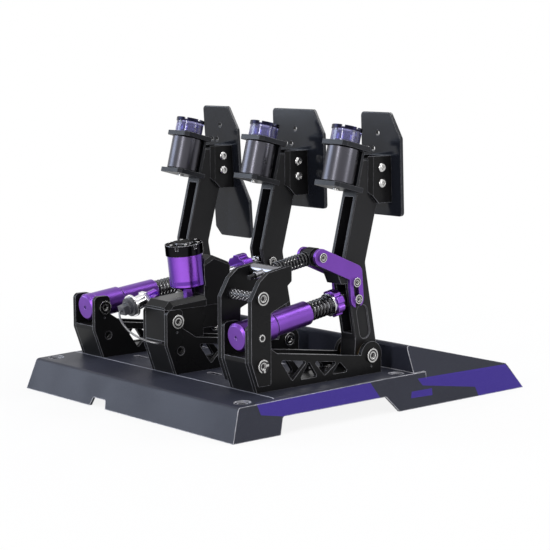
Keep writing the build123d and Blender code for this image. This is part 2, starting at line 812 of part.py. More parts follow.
def make_haptic_motor(name):
    frame = haptic_plane(name)
    low = flange_low + flange_thickness
    high = flange_high - flange_thickness
    rim_start = flange_high + cap_height
    with BuildPart() as motor:
        with BuildSketch(frame.offset(low)):
            with Locations((0, motor_centre)):
                Circle(motor_radius)
        extrude(amount=high - low)
        chamfer(motor.edges().filter_by(GeomType.CIRCLE), motor_edge)
        with BuildSketch(frame.offset(high)):
            with Locations((0, motor_centre)):
                Circle(neck_radius)
        extrude(amount=flange_thickness)
        with BuildSketch(frame.offset(flange_high - rotor_shaft_depth)):
            with Locations((0, motor_centre)):
                Circle(rotor_shaft_radius + running_fit)
        extrude(amount=rotor_shaft_depth, mode=Mode.SUBTRACT)
        with BuildSketch(frame.offset(low)):
            with Locations((0, motor_centre)):
                Circle(haptic_screw_radius + running_fit)
        extrude(amount=flange_thickness, mode=Mode.SUBTRACT)
        with BuildSketch(frame.offset(rim_start)):
            with Locations((0, motor_centre)):
                Circle(rim_radius)
                Circle(rim_radius - rim_wall, mode=Mode.SUBTRACT)
        extrude(amount=rim_height)
        with BuildSketch(frame.offset(rim_start + rim_height)):
            with Locations((0, motor_centre)):
                with PolarLocations(rim_radius - rim_wall / 2, rim_lobes):
                    Rectangle(rim_wall + overrun, rim_notch)
        extrude(amount=-rim_notch_depth, mode=Mode.SUBTRACT)
    save(motor, name + "_haptic_motor")


def make_haptic_cap(name):
    """The clear cup over the motor's neck, closed at the top under the notched ring."""
    frame = haptic_plane(name)
    with BuildPart() as cap:
        with BuildSketch(frame.offset(flange_high)):
            with Locations((0, motor_centre)):
                Circle(cap_radius)
        extrude(amount=cap_height)
        with BuildSketch(frame.offset(flange_high)):
            with Locations((0, motor_centre)):
                Circle(cap_radius - cap_wall)
        extrude(amount=cap_height - cap_wall, mode=Mode.SUBTRACT)
    save(cap, name + "_haptic_cap")


def make_haptic_rotor(name):
    """The half-disc weight that spins inside the cap, on its shaft."""
    frame = haptic_plane(name)
    with BuildPart() as rotor:
        with BuildSketch(frame.offset(flange_high - rotor_shaft_depth + side_gap)):
            with Locations((0, motor_centre)):
                Circle(rotor_shaft_radius)
        extrude(amount=rotor_shaft_depth + rotor_lift + rotor_height)
        with BuildSketch(frame.offset(flange_high + rotor_lift)):
            with Locations((0, motor_centre)):
                Circle(rotor_radius)
            with Locations((rotor_radius / 2 + rotor_shaft_radius, motor_centre)):
                Rectangle(rotor_radius, 2 * rotor_radius, mode=Mode.SUBTRACT)
        extrude(amount=rotor_height)
    save(rotor, name + "_haptic_rotor")


for pedal in pedal_names:
    make_haptic_bracket(pedal)
    make_haptic_motor(pedal)
    make_haptic_cap(pedal)
    make_haptic_rotor(pedal)


def make_screw(plane, head, shank, dome=0.0):
    """A screw seated on a plane: its head stands along the normal, its shank goes in."""
    head_radius, head_height = head
    shank_radius, shank_length = shank
    along = Axis(plane.origin, plane.z_dir)
    with BuildPart() as screw:
        with BuildSketch(plane):
            Circle(head_radius)
        extrude(amount=head_height)
        if dome:
            fillet(screw.faces().sort_by(along)[-1].edges(), dome)
        with BuildSketch(plane):
            Circle(shank_radius)
        extrude(amount=-shank_length)
        with BuildSketch(plane.offset(head_height)):
            RegularPolygon(head_radius / 2, 6)
        extrude(amount=-head_height / 2, mode=Mode.SUBTRACT)
    return screw.part


def make_link_bolt(centre, y, z, half_length, head):
    """A through bolt along X with a head at both ends."""
    head_radius, head_height = head
    bolt = []
    for side in (-1, 1):
        face = Plane(origin=(centre + side * half_length, y, z), x_dir=(0, 1, 0),
                     z_dir=(side, 0, 0))
        bolt.append(make_screw(face, head, (link_pin_radius, half_length)))
    return bolt[0] + bolt[1]


# Arm screws: everything that fastens pad, brackets and links to one arm
button_dome = 2.0
screw_bite = 3.5
cheek_screw_length = bracket_wall + screw_bite
link_head_radius = 4.5
link_head_height = 2.6
link_plate = 3.0
haptic_screw_head_radius = 3.2
haptic_screw_head_height = 1.8
flange_screw_length = flange_thickness + screw_bite


def make_arm_screws(name):
    centre = pedal_x[name]
    screws = []
    for side in (-1, 1):
        for y, z in bracket_screws:
            face = Plane(origin=(centre + side * bracket_half, y, z), x_dir=(0, 1, 0),
                         z_dir=(side, 0, 0))
            screws.append(make_screw(face, (button_radius, button_height),
                                     (small_screw_radius, cheek_screw_length), button_dome))
    pad_front = pad_plane(name).offset(pad_thickness - pad_screw_head_height)
    for x, y in pad_screw_places():
        seat = Plane(origin=pad_front.from_local_coords((x, y, 0)), x_dir=pad_front.x_dir,
                     z_dir=pad_front.z_dir)
        screws.append(make_screw(seat, (pad_screw_head_radius, pad_screw_head_height),
                                 (pad_screw_radius, pad_thickness)))
    frame = haptic_plane(name)
    under = Plane(origin=frame.from_local_coords((0, motor_centre, flange_low)),
                  x_dir=(1, 0, 0), z_dir=frame.z_dir * -1)
    screws.append(make_screw(under, (haptic_screw_head_radius, haptic_screw_head_height),
                             (haptic_screw_radius, flange_screw_length)))
    back = haptic_back_plane(name).offset(haptic_back - flush_head_height)
    for x, y in haptic_screw_places():
        seat = Plane(origin=back.from_local_coords((x, y, 0)), x_dir=back.x_dir,
                     z_dir=back.z_dir)
        screws.append(make_screw(seat, (flush_head_radius, flush_head_height),
                                 (haptic_screw_radius, haptic_screw_depth)))
    pin_y, pin_z = arm_pin(name)
    if name == "clutch":
        reach = arm_width / 2 + link_plate
        for y, z in ((pin_y, pin_z), (link_bolt_y, link_bolt_z), (toggle_eye_y, toggle_eye_z)):
            screws.append(make_link_bolt(centre, y, z, reach,
                                         (link_head_radius, link_head_height)))
    else:
        screws.append(make_link_bolt(centre, pin_y, pin_z, arm_width / 2,
                                     (link_head_radius, link_head_height)))
    with BuildPart() as group:
        for screw in screws:
            add(screw)
    save(group, name + "_arm_screws")


for pedal in pedal_names:
    make_arm_screws(pedal)

# Dampers: the purple cylinder that swings on its trunnion pin, for the two outer pedals
damper_cap_radius = 13.5
damper_cap_back = 10.5
damper_cap_length = 9.0
damper_chamfer = 2.2
damper_rear_radius = 13.1
damper_front_radius = 11.6
damper_front = 76.0
damper_groove_start = 30.0
damper_groove_width = 2.5
damper_groove_depth = 1.2
damper_dimple_radius = 1.8
damper_dimple_depth = 1.5
rod_radius = 5.0
rod_back = 30.0
rod_bore_back = 14.0
damper_length = {name: distance(damper_pivot_y, damper_pivot_z, damper_pin_y, pin_z)
                 for name, pin_z in damper_pin_z.items()}
lug_length = 14.8
seat_radius = 11.0
seat_thickness = 2.8
seat_start = 104.0
nut_gap = 0.3
nut_start = seat_start + seat_thickness + nut_gap
nut_length = 7.6
nut_radius = 13.0
nut_notch_radius = 2.6
nut_lobes = 8
lug_width = 9.0
lug_height = 13.0
hub_radius = 6.2
hub_length = 3.0
damper_spring_radius = 8.2
damper_spring_wire = 1.15
damper_spring_turns = 6
damper_spring_margin = 0.25
coil_steps = 4
gap_steps = 36


def damper_frame(name):
    """On the damper's trunnion: Z runs along the damper to the pin in the arm."""
    return axis_plane(pedal_x[name], damper_pivot_y, damper_pivot_z, *arm_pin(name))


def make_damper_body(name):
    frame = damper_frame(name)
    with BuildPart() as body:
        with BuildSketch(frame.offset(-damper_cap_back)):
            Circle(damper_cap_radius)
        extrude(amount=damper_cap_length)
        along = Axis(frame.origin, frame.z_dir)
        chamfer(body.faces().sort_by(along)[0].edges(), damper_chamfer)
        rear_start = damper_cap_length - damper_cap_back
        groove_end = damper_groove_start + damper_groove_width
        for start, end, radius in (
                (rear_start, damper_groove_start, damper_rear_radius),
                (damper_groove_start, groove_end, damper_front_radius - damper_groove_depth),
                (groove_end, damper_front, damper_front_radius)):
            with BuildSketch(frame.offset(start)):
                Circle(radius)
            extrude(amount=end - start)
        chamfer(body.faces().sort_by(along)[-1].edges(), damper_chamfer / 2)
        with BuildSketch(frame.offset(-damper_cap_back)):
            Circle(damper_dimple_radius)
        extrude(amount=damper_dimple_depth, mode=Mode.SUBTRACT)
        with BuildSketch(frame.offset(rod_bore_back)):
            Circle(rod_radius + running_fit)
        extrude(amount=damper_front - rod_bore_back, mode=Mode.SUBTRACT)
        with BuildSketch(Plane.YZ.offset(pedal_x[name])):
            with Locations((damper_pivot_y, damper_pivot_z)):
                Circle(pin_radius + running_fit)
        extrude(amount=damper_cap_radius + overrun, both=True, mode=Mode.SUBTRACT)
    save(body, name + "_damper_body")


def make_damper_rod(name):
    """The threaded rod with the seat that the spring bears on."""
    frame = damper_frame(name)
    rod_front = damper_length[name] - lug_length
    with BuildPart() as rod:
        for start, end, radius in ((rod_back, rod_front, rod_radius),
                                   (seat_start, seat_start + seat_thickness, seat_radius)):
            with BuildSketch(frame.offset(start)):
                Circle(radius)
            extrude(amount=end - start)
    save(rod, name + "_damper_rod")


def make_lobed_nut(frame, name, start, length, radius, lobes, notch_radius, bore):
    """A hand nut whose rim is cut by round notches."""
    with BuildPart() as nut:
        with BuildSketch(frame.offset(start)):
            Circle(radius)
            with PolarLocations(radius + notch_radius / 2, lobes):
                Circle(notch_radius, mode=Mode.SUBTRACT)
            Circle(bore + running_fit, mode=Mode.SUBTRACT)
        extrude(amount=length)
    save(nut, name)


def make_lug(frame, start, pin_at, pin_room):
    """A flat eye on a round hub, bored with room round its pin."""
    with BuildPart() as lug:
        with BuildSketch(frame.offset(start)):
            Circle(hub_radius)
        extrude(amount=hub_length)
        with BuildSketch(frame.offset(start + hub_length)):
            Rectangle(lug_width, lug_height)
        extrude(amount=pin_at - start - hub_length)
        side = Plane(origin=frame.from_local_coords((0, 0, pin_at)), x_dir=frame.z_dir,
                     z_dir=(1, 0, 0))
        with BuildSketch(side):
            Circle(lug_height / 2)
        extrude(amount=lug_width / 2, both=True)
        with BuildSketch(side):
            Circle(link_pin_radius + pin_room)
        extrude(amount=lug_width, both=True, mode=Mode.SUBTRACT)
    return lug


def coil_points(radius, pitch, turns, steps):
    """Points and unit tangents of a helix about Z, a number of steps to the turn."""
    rise = pitch / (2 * radians(180))
    speed = hypot(radius, rise)
    places = []
    for step in range(turns * steps + 1):
        angle = radians(360) * step / steps
        point = Vector(radius * cos(angle), radius * sin(angle), rise * angle)
        tangent = Vector(-radius * sin(angle), radius * cos(angle), rise) * (1 / speed)
        places.append((point, tangent))
    return places


def make_spring(frame, name, start, end, radius, wire, turns):
    """A coil spring as one unbroken tube, each quarter turn a pair of tangent arcs."""
    pitch = (end - start - 2 * wire) / turns
    places = coil_points(radius, pitch, turns, coil_steps)
    with BuildPart() as coil:
        with BuildLine() as path:
            for (first, out), (last, back) in zip(places, places[1:]):
                chord, spread = last - first, 1 - out.dot(back)
                lean = chord.dot(out + back)
                reach = (sqrt(lean * lean + 2 * spread * chord.dot(chord)) - lean) / (2 * spread)
                joint = (first + last) * 0.5 + (out - back) * (reach / 2)
                turn = (last - back * reach) - (first + out * reach)
                TangentArc(first, joint, tangent=out)
                TangentArc(joint, last, tangent=turn)
        with BuildSketch(Plane(origin=places[0][0], z_dir=places[0][1])):
            Circle(wire)
        sweep(path=path.wires()[0])
    fine = [point for point, tangent in coil_points(radius, pitch, turns, gap_steps)]
    gap = min((a - b).length for i, a in enumerate(fine)
              for b in fine[i + gap_steps // 2:]) - 2 * wire
    length = path.wires()[0].length
    share = coil.part.volume / (length * radians(180) * wire * wire)
    print(name, "least gap", round(gap, 3), "volume against section times length", round(share, 4))
    with BuildPart() as spring:
        add(coil.part.moved(frame.offset(start + wire).location))
    save(spring, name)


for pedal in ("clutch", "throttle"):
    make_damper_body(pedal)
    make_damper_rod(pedal)
    make_lobed_nut(damper_frame(pedal), pedal + "_preload_nut", nut_start, nut_length, nut_radius,
                   nut_lobes, nut_notch_radius, rod_radius)
    save(make_lug(damper_frame(pedal), damper_length[pedal] - lug_length, damper_length[pedal],
                  loose_fit), pedal + "_damper_clevis")
    make_spring(damper_frame(pedal), pedal + "_damper_spring",
                damper_front + damper_spring_margin, seat_start - damper_spring_margin,
                damper_spring_radius, damper_spring_wire, damper_spring_turns)

# Brake block: the hydraulic cylinder body between the side plates
block_front_y = 68.0
block_step_y = 100.0
block_step_z = 74.0
rod_bore_end = -5.0
push_rod_back = 3.0
push_rod_length = distance(brake_stack_y, brake_stack_z, brake_pin_y, brake_pin_z)
knob_start = 39.0
knob_length = 11.0
knob_radius = 14.0
knob_notch_radius = 4.2
knob_lobes = 6


def brake_frame():
    """In the brake's tower: Z runs along the push rod to the pin in the arm."""
    return axis_plane(pedal_x["brake"], brake_stack_y, brake_stack_z, brake_pin_y, brake_pin_z)


with BuildPart() as brake_block:
    with BuildSketch(Plane.YZ.offset(pedal_x["brake"])):
        with BuildLine():
            Polyline((plate_rear_y, cross_block_top), (plate_rear_y, horn_top),
                     (block_front_y, horn_top), (block_front_y, block_step_z),
                     (block_step_y, block_step_z), (block_step_y, cross_block_top), close=True)
        make_face()
        with Locations((damper_pivot_y, damper_pivot_z)):
            Circle(pin_radius + running_fit, mode=Mode.SUBTRACT)
    extrude(amount=inner_gap / 2, both=True)
save(brake_block, "brake_block")

# Brake cover: a faceted hood over the block with the tower that guides the push rod
hood_half = module_width / 2
hood_rear_top = 98.0
hood_ridge_y = 141.0
hood_ridge_z = 104.0
hood_front_z = 107.0
hood_bevel = 4.5
tower_rear_y = 99.0
tower_front_y = 67.0
tower_rear_z = 138.0
tower_peak_y = 87.0
tower_peak_z = 144.0
tower_front_z = 136.0
tower_half = 16.0
tower_bevel = 3.0
reservoir_y = 106.5
reservoir_z = 114.5
reservoir_degrees = 7.0
reservoir_radius = 17.3
reservoir_height = 32.0
reservoir_wall = 1.8
reservoir_floor = 3.0
reservoir_edge = 1.5
reservoir_scoop_radius = 18.2
fitting_radius = 5.4
fitting_seat = 10.5


def reservoir_frame():
    """On the reservoir's bottom, with Z along its leaning axis."""
    lean = radians(reservoir_degrees)
    return Plane(origin=(pedal_x["brake"], reservoir_y, reservoir_z), x_dir=(1, 0, 0),
                 z_dir=(0, sin(lean), cos(lean)))


with BuildPart() as brake_cover:
    with BuildSketch(Plane.YZ.offset(pedal_x["brake"])):
        with BuildLine():
            Polyline((plate_rear_y, horn_top), (plate_rear_y, hood_rear_top),
                     (hood_ridge_y, hood_ridge_z), (tower_rear_y, hood_front_z),
                     (tower_rear_y, horn_top), close=True)
        make_face()
    extrude(amount=hood_half, both=True)
    hood_edges = brake_cover.faces().filter_by(Axis.X).edges().filter_by(
        lambda edge: edge.center().Z > horn_top + overrun / 2 and edge.length > hood_bevel
        and edge.center().Y > tower_rear_y + overrun)
    chamfer(hood_edges, hood_bevel)
    with BuildSketch(Plane.YZ.offset(pedal_x["brake"])):
        with BuildLine():
            Polyline((tower_rear_y, horn_top), (tower_rear_y, tower_rear_z),
                     (tower_peak_y, tower_peak_z), (tower_front_y, tower_front_z),
                     (tower_front_y, horn_top), close=True)
        make_face()
    extrude(amount=tower_half, both=True)
    tower_edges = brake_cover.faces().filter_by(Axis.X).edges().filter_by(
        lambda edge: edge.center().Z > tower_front_z)
    chamfer(tower_edges, tower_bevel)
    with BuildSketch(brake_frame().offset(rod_bore_end)):
        Circle(rod_radius + running_fit)
    extrude(amount=push_rod_length, mode=Mode.SUBTRACT)
    with BuildSketch(reservoir_frame()):
        Circle(reservoir_scoop_radius)
    extrude(amount=reservoir_height, mode=Mode.SUBTRACT)
    with BuildSketch(reservoir_frame().offset(-fitting_seat)):
        RegularPolygon(fitting_radius + running_fit, 6)
    extrude(amount=fitting_seat, mode=Mode.SUBTRACT)
save(brake_cover, "brake_cover")

# Push rod: it slides in the tower, and its eye holds the arm's pin
push_pin_room = 0.8
push_lug = make_lug(brake_frame(), push_rod_length - lug_length, push_rod_length, push_pin_room)
with BuildPart() as push_rod:
    with BuildSketch(brake_frame().offset(push_rod_back)):
        Circle(rod_radius)
    extrude(amount=push_rod_length - lug_length - push_rod_back)
    add(push_lug.part)
save(push_rod, "brake_push_rod")
make_lobed_nut(brake_frame(), "brake_preload_knob", knob_start, knob_length, knob_radius,
               knob_lobes, knob_notch_radius, rod_radius)

# Reservoir: a clear tinted cup, a notched cap and its fitting
cap_lid_height = 10.4
cap_lid_radius = 18.4
cap_spigot = 3.0
cap_screw_count = 6
cap_screw_circle = 14.9
cap_screw_radius = 1.5
cap_screw_height = 1.1
cap_notch = 3.0
cap_notch_depth = 4.0
cap_plug_radius = 9.0
cap_plug_height = 1.2
cap_hole_radius = 0.8

with BuildPart() as reservoir:
    with BuildSketch(reservoir_frame()):
        Circle(reservoir_radius)
    extrude(amount=reservoir_height)
    chamfer(reservoir.edges().sort_by(Axis.Z)[0], reservoir_edge)
    with BuildSketch(reservoir_frame().offset(reservoir_floor)):
        Circle(reservoir_radius - reservoir_wall)
    extrude(amount=reservoir_height - reservoir_floor, mode=Mode.SUBTRACT)
save(reservoir, "brake_reservoir")

with BuildPart() as reservoir_cap:
    with BuildSketch(reservoir_frame().offset(reservoir_height)):
        Circle(cap_lid_radius)
        with PolarLocations(cap_lid_radius, cap_screw_count):
            Rectangle(cap_notch, cap_notch, mode=Mode.SUBTRACT)
    extrude(amount=cap_lid_height)
    with BuildSketch(reservoir_frame().offset(reservoir_height)):
        Circle(cap_lid_radius)
    extrude(amount=cap_lid_height - cap_notch_depth)
    with BuildSketch(reservoir_frame().offset(reservoir_height + cap_lid_height)):
        Circle(cap_plug_radius)
    extrude(amount=cap_plug_height)
    with BuildSketch(reservoir_frame().offset(reservoir_height + cap_lid_height)):
        with PolarLocations(cap_screw_circle, cap_screw_count, start_angle=180 / cap_screw_count):
            Circle(cap_hole_radius)
    extrude(amount=-cap_spigot, mode=Mode.SUBTRACT)
    with BuildSketch(reservoir_frame().offset(reservoir_height)):
        Circle(reservoir_radius - reservoir_wall - side_gap)
    extrude(amount=-cap_spigot)
save(reservoir_cap, "brake_reservoir_cap")

# Fittings: the reservoir's hexagon and the elbow that carries the pressure sensor
sensor_offset = 29.5
sensor_x = pedal_x["brake"] + sensor_offset
sensor_y = 129.5
sensor_z = 103.0
sensor_degrees = 17.0
elbow_radius = 4.6
elbow_z = 101.0
sensor_stem_radius = 5.6
sensor_stem_length = 11.8
sensor_hex_radius = 8.6
sensor_hex_length = 4.2
sensor_body_radius = 6.8
sensor_body_length = 12.4
sensor_rim_radius = 11.0
sensor_rim_length = 2.4
connector_base_radius = 9.4
connector_base_length = 3.2
connector_neck_radius = 6.6
connector_length = 12.2
plug_width = 10.0
plug_depth = 8.6
plug_length = 6.0
lead_radius = 1.0
sensor_head = sensor_stem_length / 2


def sensor_frame():
    """On the elbow, with Z back and down along the sensor."""
    drop = radians(sensor_degrees)
    return Plane(origin=(sensor_x, sensor_y, sensor_z), x_dir=(1, 0, 0),
                 z_dir=(0, cos(drop), -sin(drop)))


with BuildPart() as fittings:
    with BuildSketch(reservoir_frame().offset(-fitting_seat)):
        RegularPolygon(fitting_radius, 6)
    extrude(amount=fitting_seat)
    with BuildSketch(Plane.YZ.offset(pedal_x["brake"] + hood_half)):
        with Locations((sensor_y, elbow_z)):
            Circle(elbow_radius)
    extrude(amount=sensor_x - pedal_x["brake"] - hood_half)
    with BuildSketch(sensor_frame().offset(-sensor_head)):
        Circle(sensor_stem_radius)
    extrude(amount=sensor_stem_length)
save(fittings, "brake_fittings")

with BuildPart() as sensor:
    with BuildSketch(sensor_frame().offset(sensor_head)):
        RegularPolygon(sensor_hex_radius, 6)
    extrude(amount=sensor_hex_length)
    with BuildSketch(sensor_frame().offset(sensor_head + sensor_hex_length)):
        Circle(sensor_body_radius)
    extrude(amount=sensor_body_length)
    with BuildSketch(sensor_frame().offset(sensor_head + sensor_hex_length + sensor_body_length)):
        Circle(sensor_rim_radius)
    extrude(amount=sensor_rim_length)
save(sensor, "brake_sensor")

connector_start = sensor_head + sensor_hex_length + sensor_body_length + sensor_rim_length
with BuildPart() as connector:
    with BuildSketch(sensor_frame().offset(connector_start)):
        Circle(connector_base_radius)
    extrude(amount=connector_base_length)
    with BuildSketch(sensor_frame().offset(connector_start)):
        Circle(connector_neck_radius)
    extrude(amount=connector_length - plug_length)
    with BuildSketch(sensor_frame().offset(connector_start + connector_length - plug_length)):
        Rectangle(plug_width, plug_depth)
    extrude(amount=plug_length)
save(connector, "brake_sensor_connector")

# Sensor lead: from the connector down and round into the rear cross block
lead_start = connector_start + connector_length
lead_first_run = 3.0
lead_entry_offset = 10.2
lead_entry_x = pedal_x["brake"] - lead_entry_offset
lead_entry_z = (chamfer_top + cross_block_top) / 2
bend_share = 0.45
lead_route = (
    sensor_frame().from_local_coords((0, 0, lead_start)),
    sensor_frame().from_local_coords((0, 0, lead_start + lead_first_run)),
    Vector(30.6, 170.0, 86.4),
    Vector(25.2, 169.8, 80.2),
    Vector(18.0, 167.2, 73.6),
    Vector(9.2, 162.2, 68.4),
    Vector(2.0, 156.8, 65.4),
    Vector(lead_entry_x, 152.0, lead_entry_z),
    Vector(lead_entry_x, plate_rear_y, lead_entry_z),
)


def corner_radii(route):
    """The largest easy radius at each corner, from its shorter run and half its turn."""
    radii = []
    for before, corner, after in zip(route, route[1:], route[2:]):
        turn = (corner - before).get_angle(after - corner)
        run = min((corner - before).length, (after - corner).length)
        radii.append(bend_share * run / tan(radians(turn / 2)))
    return radii


lead_radii = corner_radii(lead_route)
with BuildPart() as lead:
    with BuildLine() as lead_path:
        FilletPolyline(*lead_route, radius=lead_radii)
    with BuildSketch(Plane(origin=lead_route[0], z_dir=lead_route[1] - lead_route[0])):
        Circle(lead_radius)
    sweep(path=lead_path.wires()[0])
print("lead radii", [round(radius, 1) for radius in lead_radii],
      "length", round(lead_path.wires()[0].length, 1),
      "volume against section times length",
      round(lead.part.volume / (lead_path.wires()[0].length * radians(180) * lead_radius ** 2), 4))
save(lead, "brake_sensor_lead")

# Clutch tower: two plates outside the side plates, with a knurled cross bar
tower_plate = 5.0
tower_bolt_high_z = 120.6
tower_foot_z = 40.0
tower_head_radius = 6.2
tower_head_height = 3.4
cross_bar_radius = 3.8
cross_bar_collar_radius = 5.2
cross_bar_collar_length = 5.0
trunnion_radius = 6.4
journal_radius = 4.0
journal_length = 2.8
guide_tube_radius = 3.6
guide_tube_length = 15.0
toggle_rod_radius = 2.3
tower_corner_radius = 1.5
tower_outline = ((plate_rear_y, chamfer_top), (plate_rear_y, 119.0), (137.0, 135.5),
                 (127.0, 143.0), (99.0, 147.5), (99.0, 133.0), (104.0, 129.0), (101.0, 115.0),
                 (124.0, 106.0), (124.0, tower_foot_z), (139.0, tower_foot_z))

with BuildPart() as tower_plates:
    for side in (-1, 1):
        inner = pedal_x["clutch"] + side * module_width / 2
        with BuildSketch(Plane.YZ.offset(inner)):
            with BuildLine():
                Polyline(*tower_outline, close=True)
            make_face()
            fillet(vertices(), tower_corner_radius)
            for hole_y, hole_z, hole_radius in (
                    (tower_bolt_y, tower_bolt_low_z, tower_bolt_radius),
                    (tower_bolt_y, tower_bolt_high_z, tower_bolt_radius),
                    (damper_pivot_y, damper_pivot_z, clutch_pin_end_radius)):
                with Locations((hole_y, hole_z)):
                    Circle(hole_radius + running_fit, mode=Mode.SUBTRACT)
        extrude(amount=side * tower_plate)
        with BuildSketch(Plane.YZ.offset(inner)):
            with Locations((toggle_pivot_y, toggle_pivot_z)):
                Circle(journal_radius + running_fit)
        extrude(amount=side * (journal_length + side_gap), mode=Mode.SUBTRACT)
save(tower_plates, "clutch_tower_plates")

with BuildPart() as cross_bar:
    with BuildSketch(Plane.YZ.offset(pedal_x["clutch"])):
        with Locations((tower_bolt_y, tower_bolt_high_z)):
            Circle(cross_bar_radius)
            Circle(tower_bolt_radius + running_fit, mode=Mode.SUBTRACT)
    extrude(amount=module_width / 2, both=True)
    for side in (-1, 1):
        with BuildSketch(Plane.YZ.offset(pedal_x["clutch"] + side * module_width / 2)):
            with Locations((tower_bolt_y, tower_bolt_high_z)):
                Circle(cross_bar_collar_radius)
                Circle(tower_bolt_radius + running_fit, mode=Mode.SUBTRACT)
        extrude(amount=-side * cross_bar_collar_length)
save(cross_bar, "clutch_cross_bar")

# Toggle: a rod with an eye on the arm's links, sliding in a trunnion that turns in the tower
toggle_length = distance(toggle_eye_y, toggle_eye_z, toggle_pivot_y, toggle_pivot_z)
toggle_open_fit = 1.6
eye_radius = 8.6
eye_width = 10.0
toggle_seat_radius = 7.0
toggle_seat_start = 8.4
toggle_seat_length = 1.6
toggle_rod_end = 79.0
toggle_spring_radius = 5.9
toggle_spring_wire = 0.9
toggle_spring_turns = 10
toggle_spring_margin = 0.25


def toggle_frame():
    """On the toggle's eye: Z runs along the rod to the trunnion."""
    return axis_plane(pedal_x["clutch"], toggle_eye_y, toggle_eye_z,
                      toggle_pivot_y, toggle_pivot_z)


with BuildPart() as trunnion:
    for half, radius in ((module_width / 2 - side_gap, trunnion_radius),
                         (module_width / 2 + journal_length, journal_radius)):
        with BuildSketch(Plane.YZ.offset(pedal_x["clutch"])):
            with Locations((toggle_pivot_y, toggle_pivot_z)):
                Circle(radius)
        extrude(amount=half, both=True)
    with BuildSketch(toggle_frame().offset(toggle_length)):
        Circle(guide_tube_radius)
    extrude(amount=guide_tube_length)
    with BuildSketch(toggle_frame().offset(toggle_length - trunnion_radius - overrun)):
        Circle(toggle_rod_radius + running_fit)
    extrude(amount=trunnion_radius + guide_tube_length + 2 * overrun, mode=Mode.SUBTRACT)
save(trunnion, "clutch_guide_trunnion")

with BuildPart() as toggle_rod:
    with BuildSketch(Plane.YZ.offset(pedal_x["clutch"])):
        with Locations((toggle_eye_y, toggle_eye_z)):
            Circle(eye_radius)
    extrude(amount=eye_width / 2, both=True)
    with BuildSketch(toggle_frame()):
        Circle(toggle_rod_radius)
    extrude(amount=toggle_rod_end)
    with BuildSketch(toggle_frame().offset(toggle_seat_start)):
        Circle(toggle_seat_radius)
    extrude(amount=toggle_seat_length)
    with BuildSketch(Plane.YZ.offset(pedal_x["clutch"])):
        with Locations((toggle_eye_y, toggle_eye_z)):
            Circle(link_pin_radius + toggle_open_fit)
    extrude(amount=eye_width, both=True, mode=Mode.SUBTRACT)
save(toggle_rod, "clutch_toggle_rod")
make_spring(toggle_frame(), "clutch_toggle_spring",
            toggle_seat_start + toggle_seat_length + toggle_spring_margin,
            toggle_length - trunnion_radius - toggle_spring_margin,
            toggle_spring_radius, toggle_spring_wire, toggle_spring_turns)

# Links: a black core behind the arm and two purple dog-leg plates that clamp it
link_radius = 8.2
link_knee_y = 8.0
link_knee_z = 131.0
link_slot = 6.6
core_radius = 6.6
core_leg = 8.0
core_foot_z = 121.5
fork_gap = 10.8
fork_depth = 11.5


def strip(first, last, radius):
    """A round-ended strip between two points of the current YZ sketch."""
    length = distance(*first, *last)
    lean = degrees(atan2(last[1] - first[1], last[0] - first[0]))
    with Locations(((first[0] + last[0]) / 2, (first[1] + last[1]) / 2)):
        return SlotCenterToCenter(length, 2 * radius, rotation=lean)


link_eye, link_knee = (toggle_eye_y, toggle_eye_z), (link_knee_y, link_knee_z)
link_foot = arm_pin("clutch")
slot_foot_z = link_foot[1] - link_radius - overrun
slot_slope = (link_bolt_y - link_foot[0]) / (link_bolt_z - link_foot[1])
slot_foot_y = link_foot[0] + slot_slope * (slot_foot_z - link_foot[1])
with BuildPart() as link_plates:
    for side in (-1, 1):
        with BuildSketch(Plane.YZ.offset(pedal_x["clutch"] + side * arm_width / 2)):
            strip(link_eye, link_knee, link_radius)
            strip(link_knee, link_foot, link_radius)
            with BuildLine():
                Polyline((link_bolt_y - link_slot / 2, link_bolt_z),
                         (link_bolt_y + link_slot / 2, link_bolt_z),
                         (slot_foot_y + link_slot / 2, slot_foot_z),
                         (slot_foot_y - link_slot / 2, slot_foot_z), close=True)
            make_face(mode=Mode.SUBTRACT)
            with Locations((link_bolt_y, link_bolt_z)):
                Circle(link_slot / 2, mode=Mode.SUBTRACT)
            with Locations(link_eye):
                Circle(link_pin_radius + running_fit, mode=Mode.SUBTRACT)
        extrude(amount=side * link_plate)
save(link_plates, "clutch_link_plates")

arm_rear_plane = Plane(origin=(pedal_x["clutch"], arm_foot_rear_y, arm_foot_height),
                       x_dir=(1, 0, 0),
                       z_dir=(0, knee_rear_height - arm_foot_height,
                              arm_foot_rear_y - knee_rear_y))
with BuildPart() as link_core:
    with BuildSketch(Plane.YZ.offset(pedal_x["clutch"])):
        strip(link_eye, link_knee, core_radius)
        with BuildLine():
            Polyline((arm_rear_y(link_knee_z), link_knee_z),
                     (arm_rear_y(link_knee_z) + core_leg + core_radius, link_knee_z + core_leg),
                     (arm_rear_y(core_foot_z) + core_leg, core_foot_z),
                     (arm_rear_y(core_foot_z), core_foot_z), close=True)
        make_face()
    extrude(amount=arm_width / 2, both=True)
    split(bisect_by=arm_rear_plane, keep=Keep.TOP)
    with BuildSketch(Plane.YZ.offset(pedal_x["clutch"])):
        with Locations(link_eye):
            Circle(fork_depth)
    extrude(amount=fork_gap / 2, both=True, mode=Mode.SUBTRACT)
    with BuildSketch(Plane.YZ.offset(pedal_x["clutch"])):
        with Locations(link_eye):
            Circle(link_pin_radius + running_fit)
    extrude(amount=arm_width, both=True, mode=Mode.SUBTRACT)
save(link_core, "clutch_link_core")

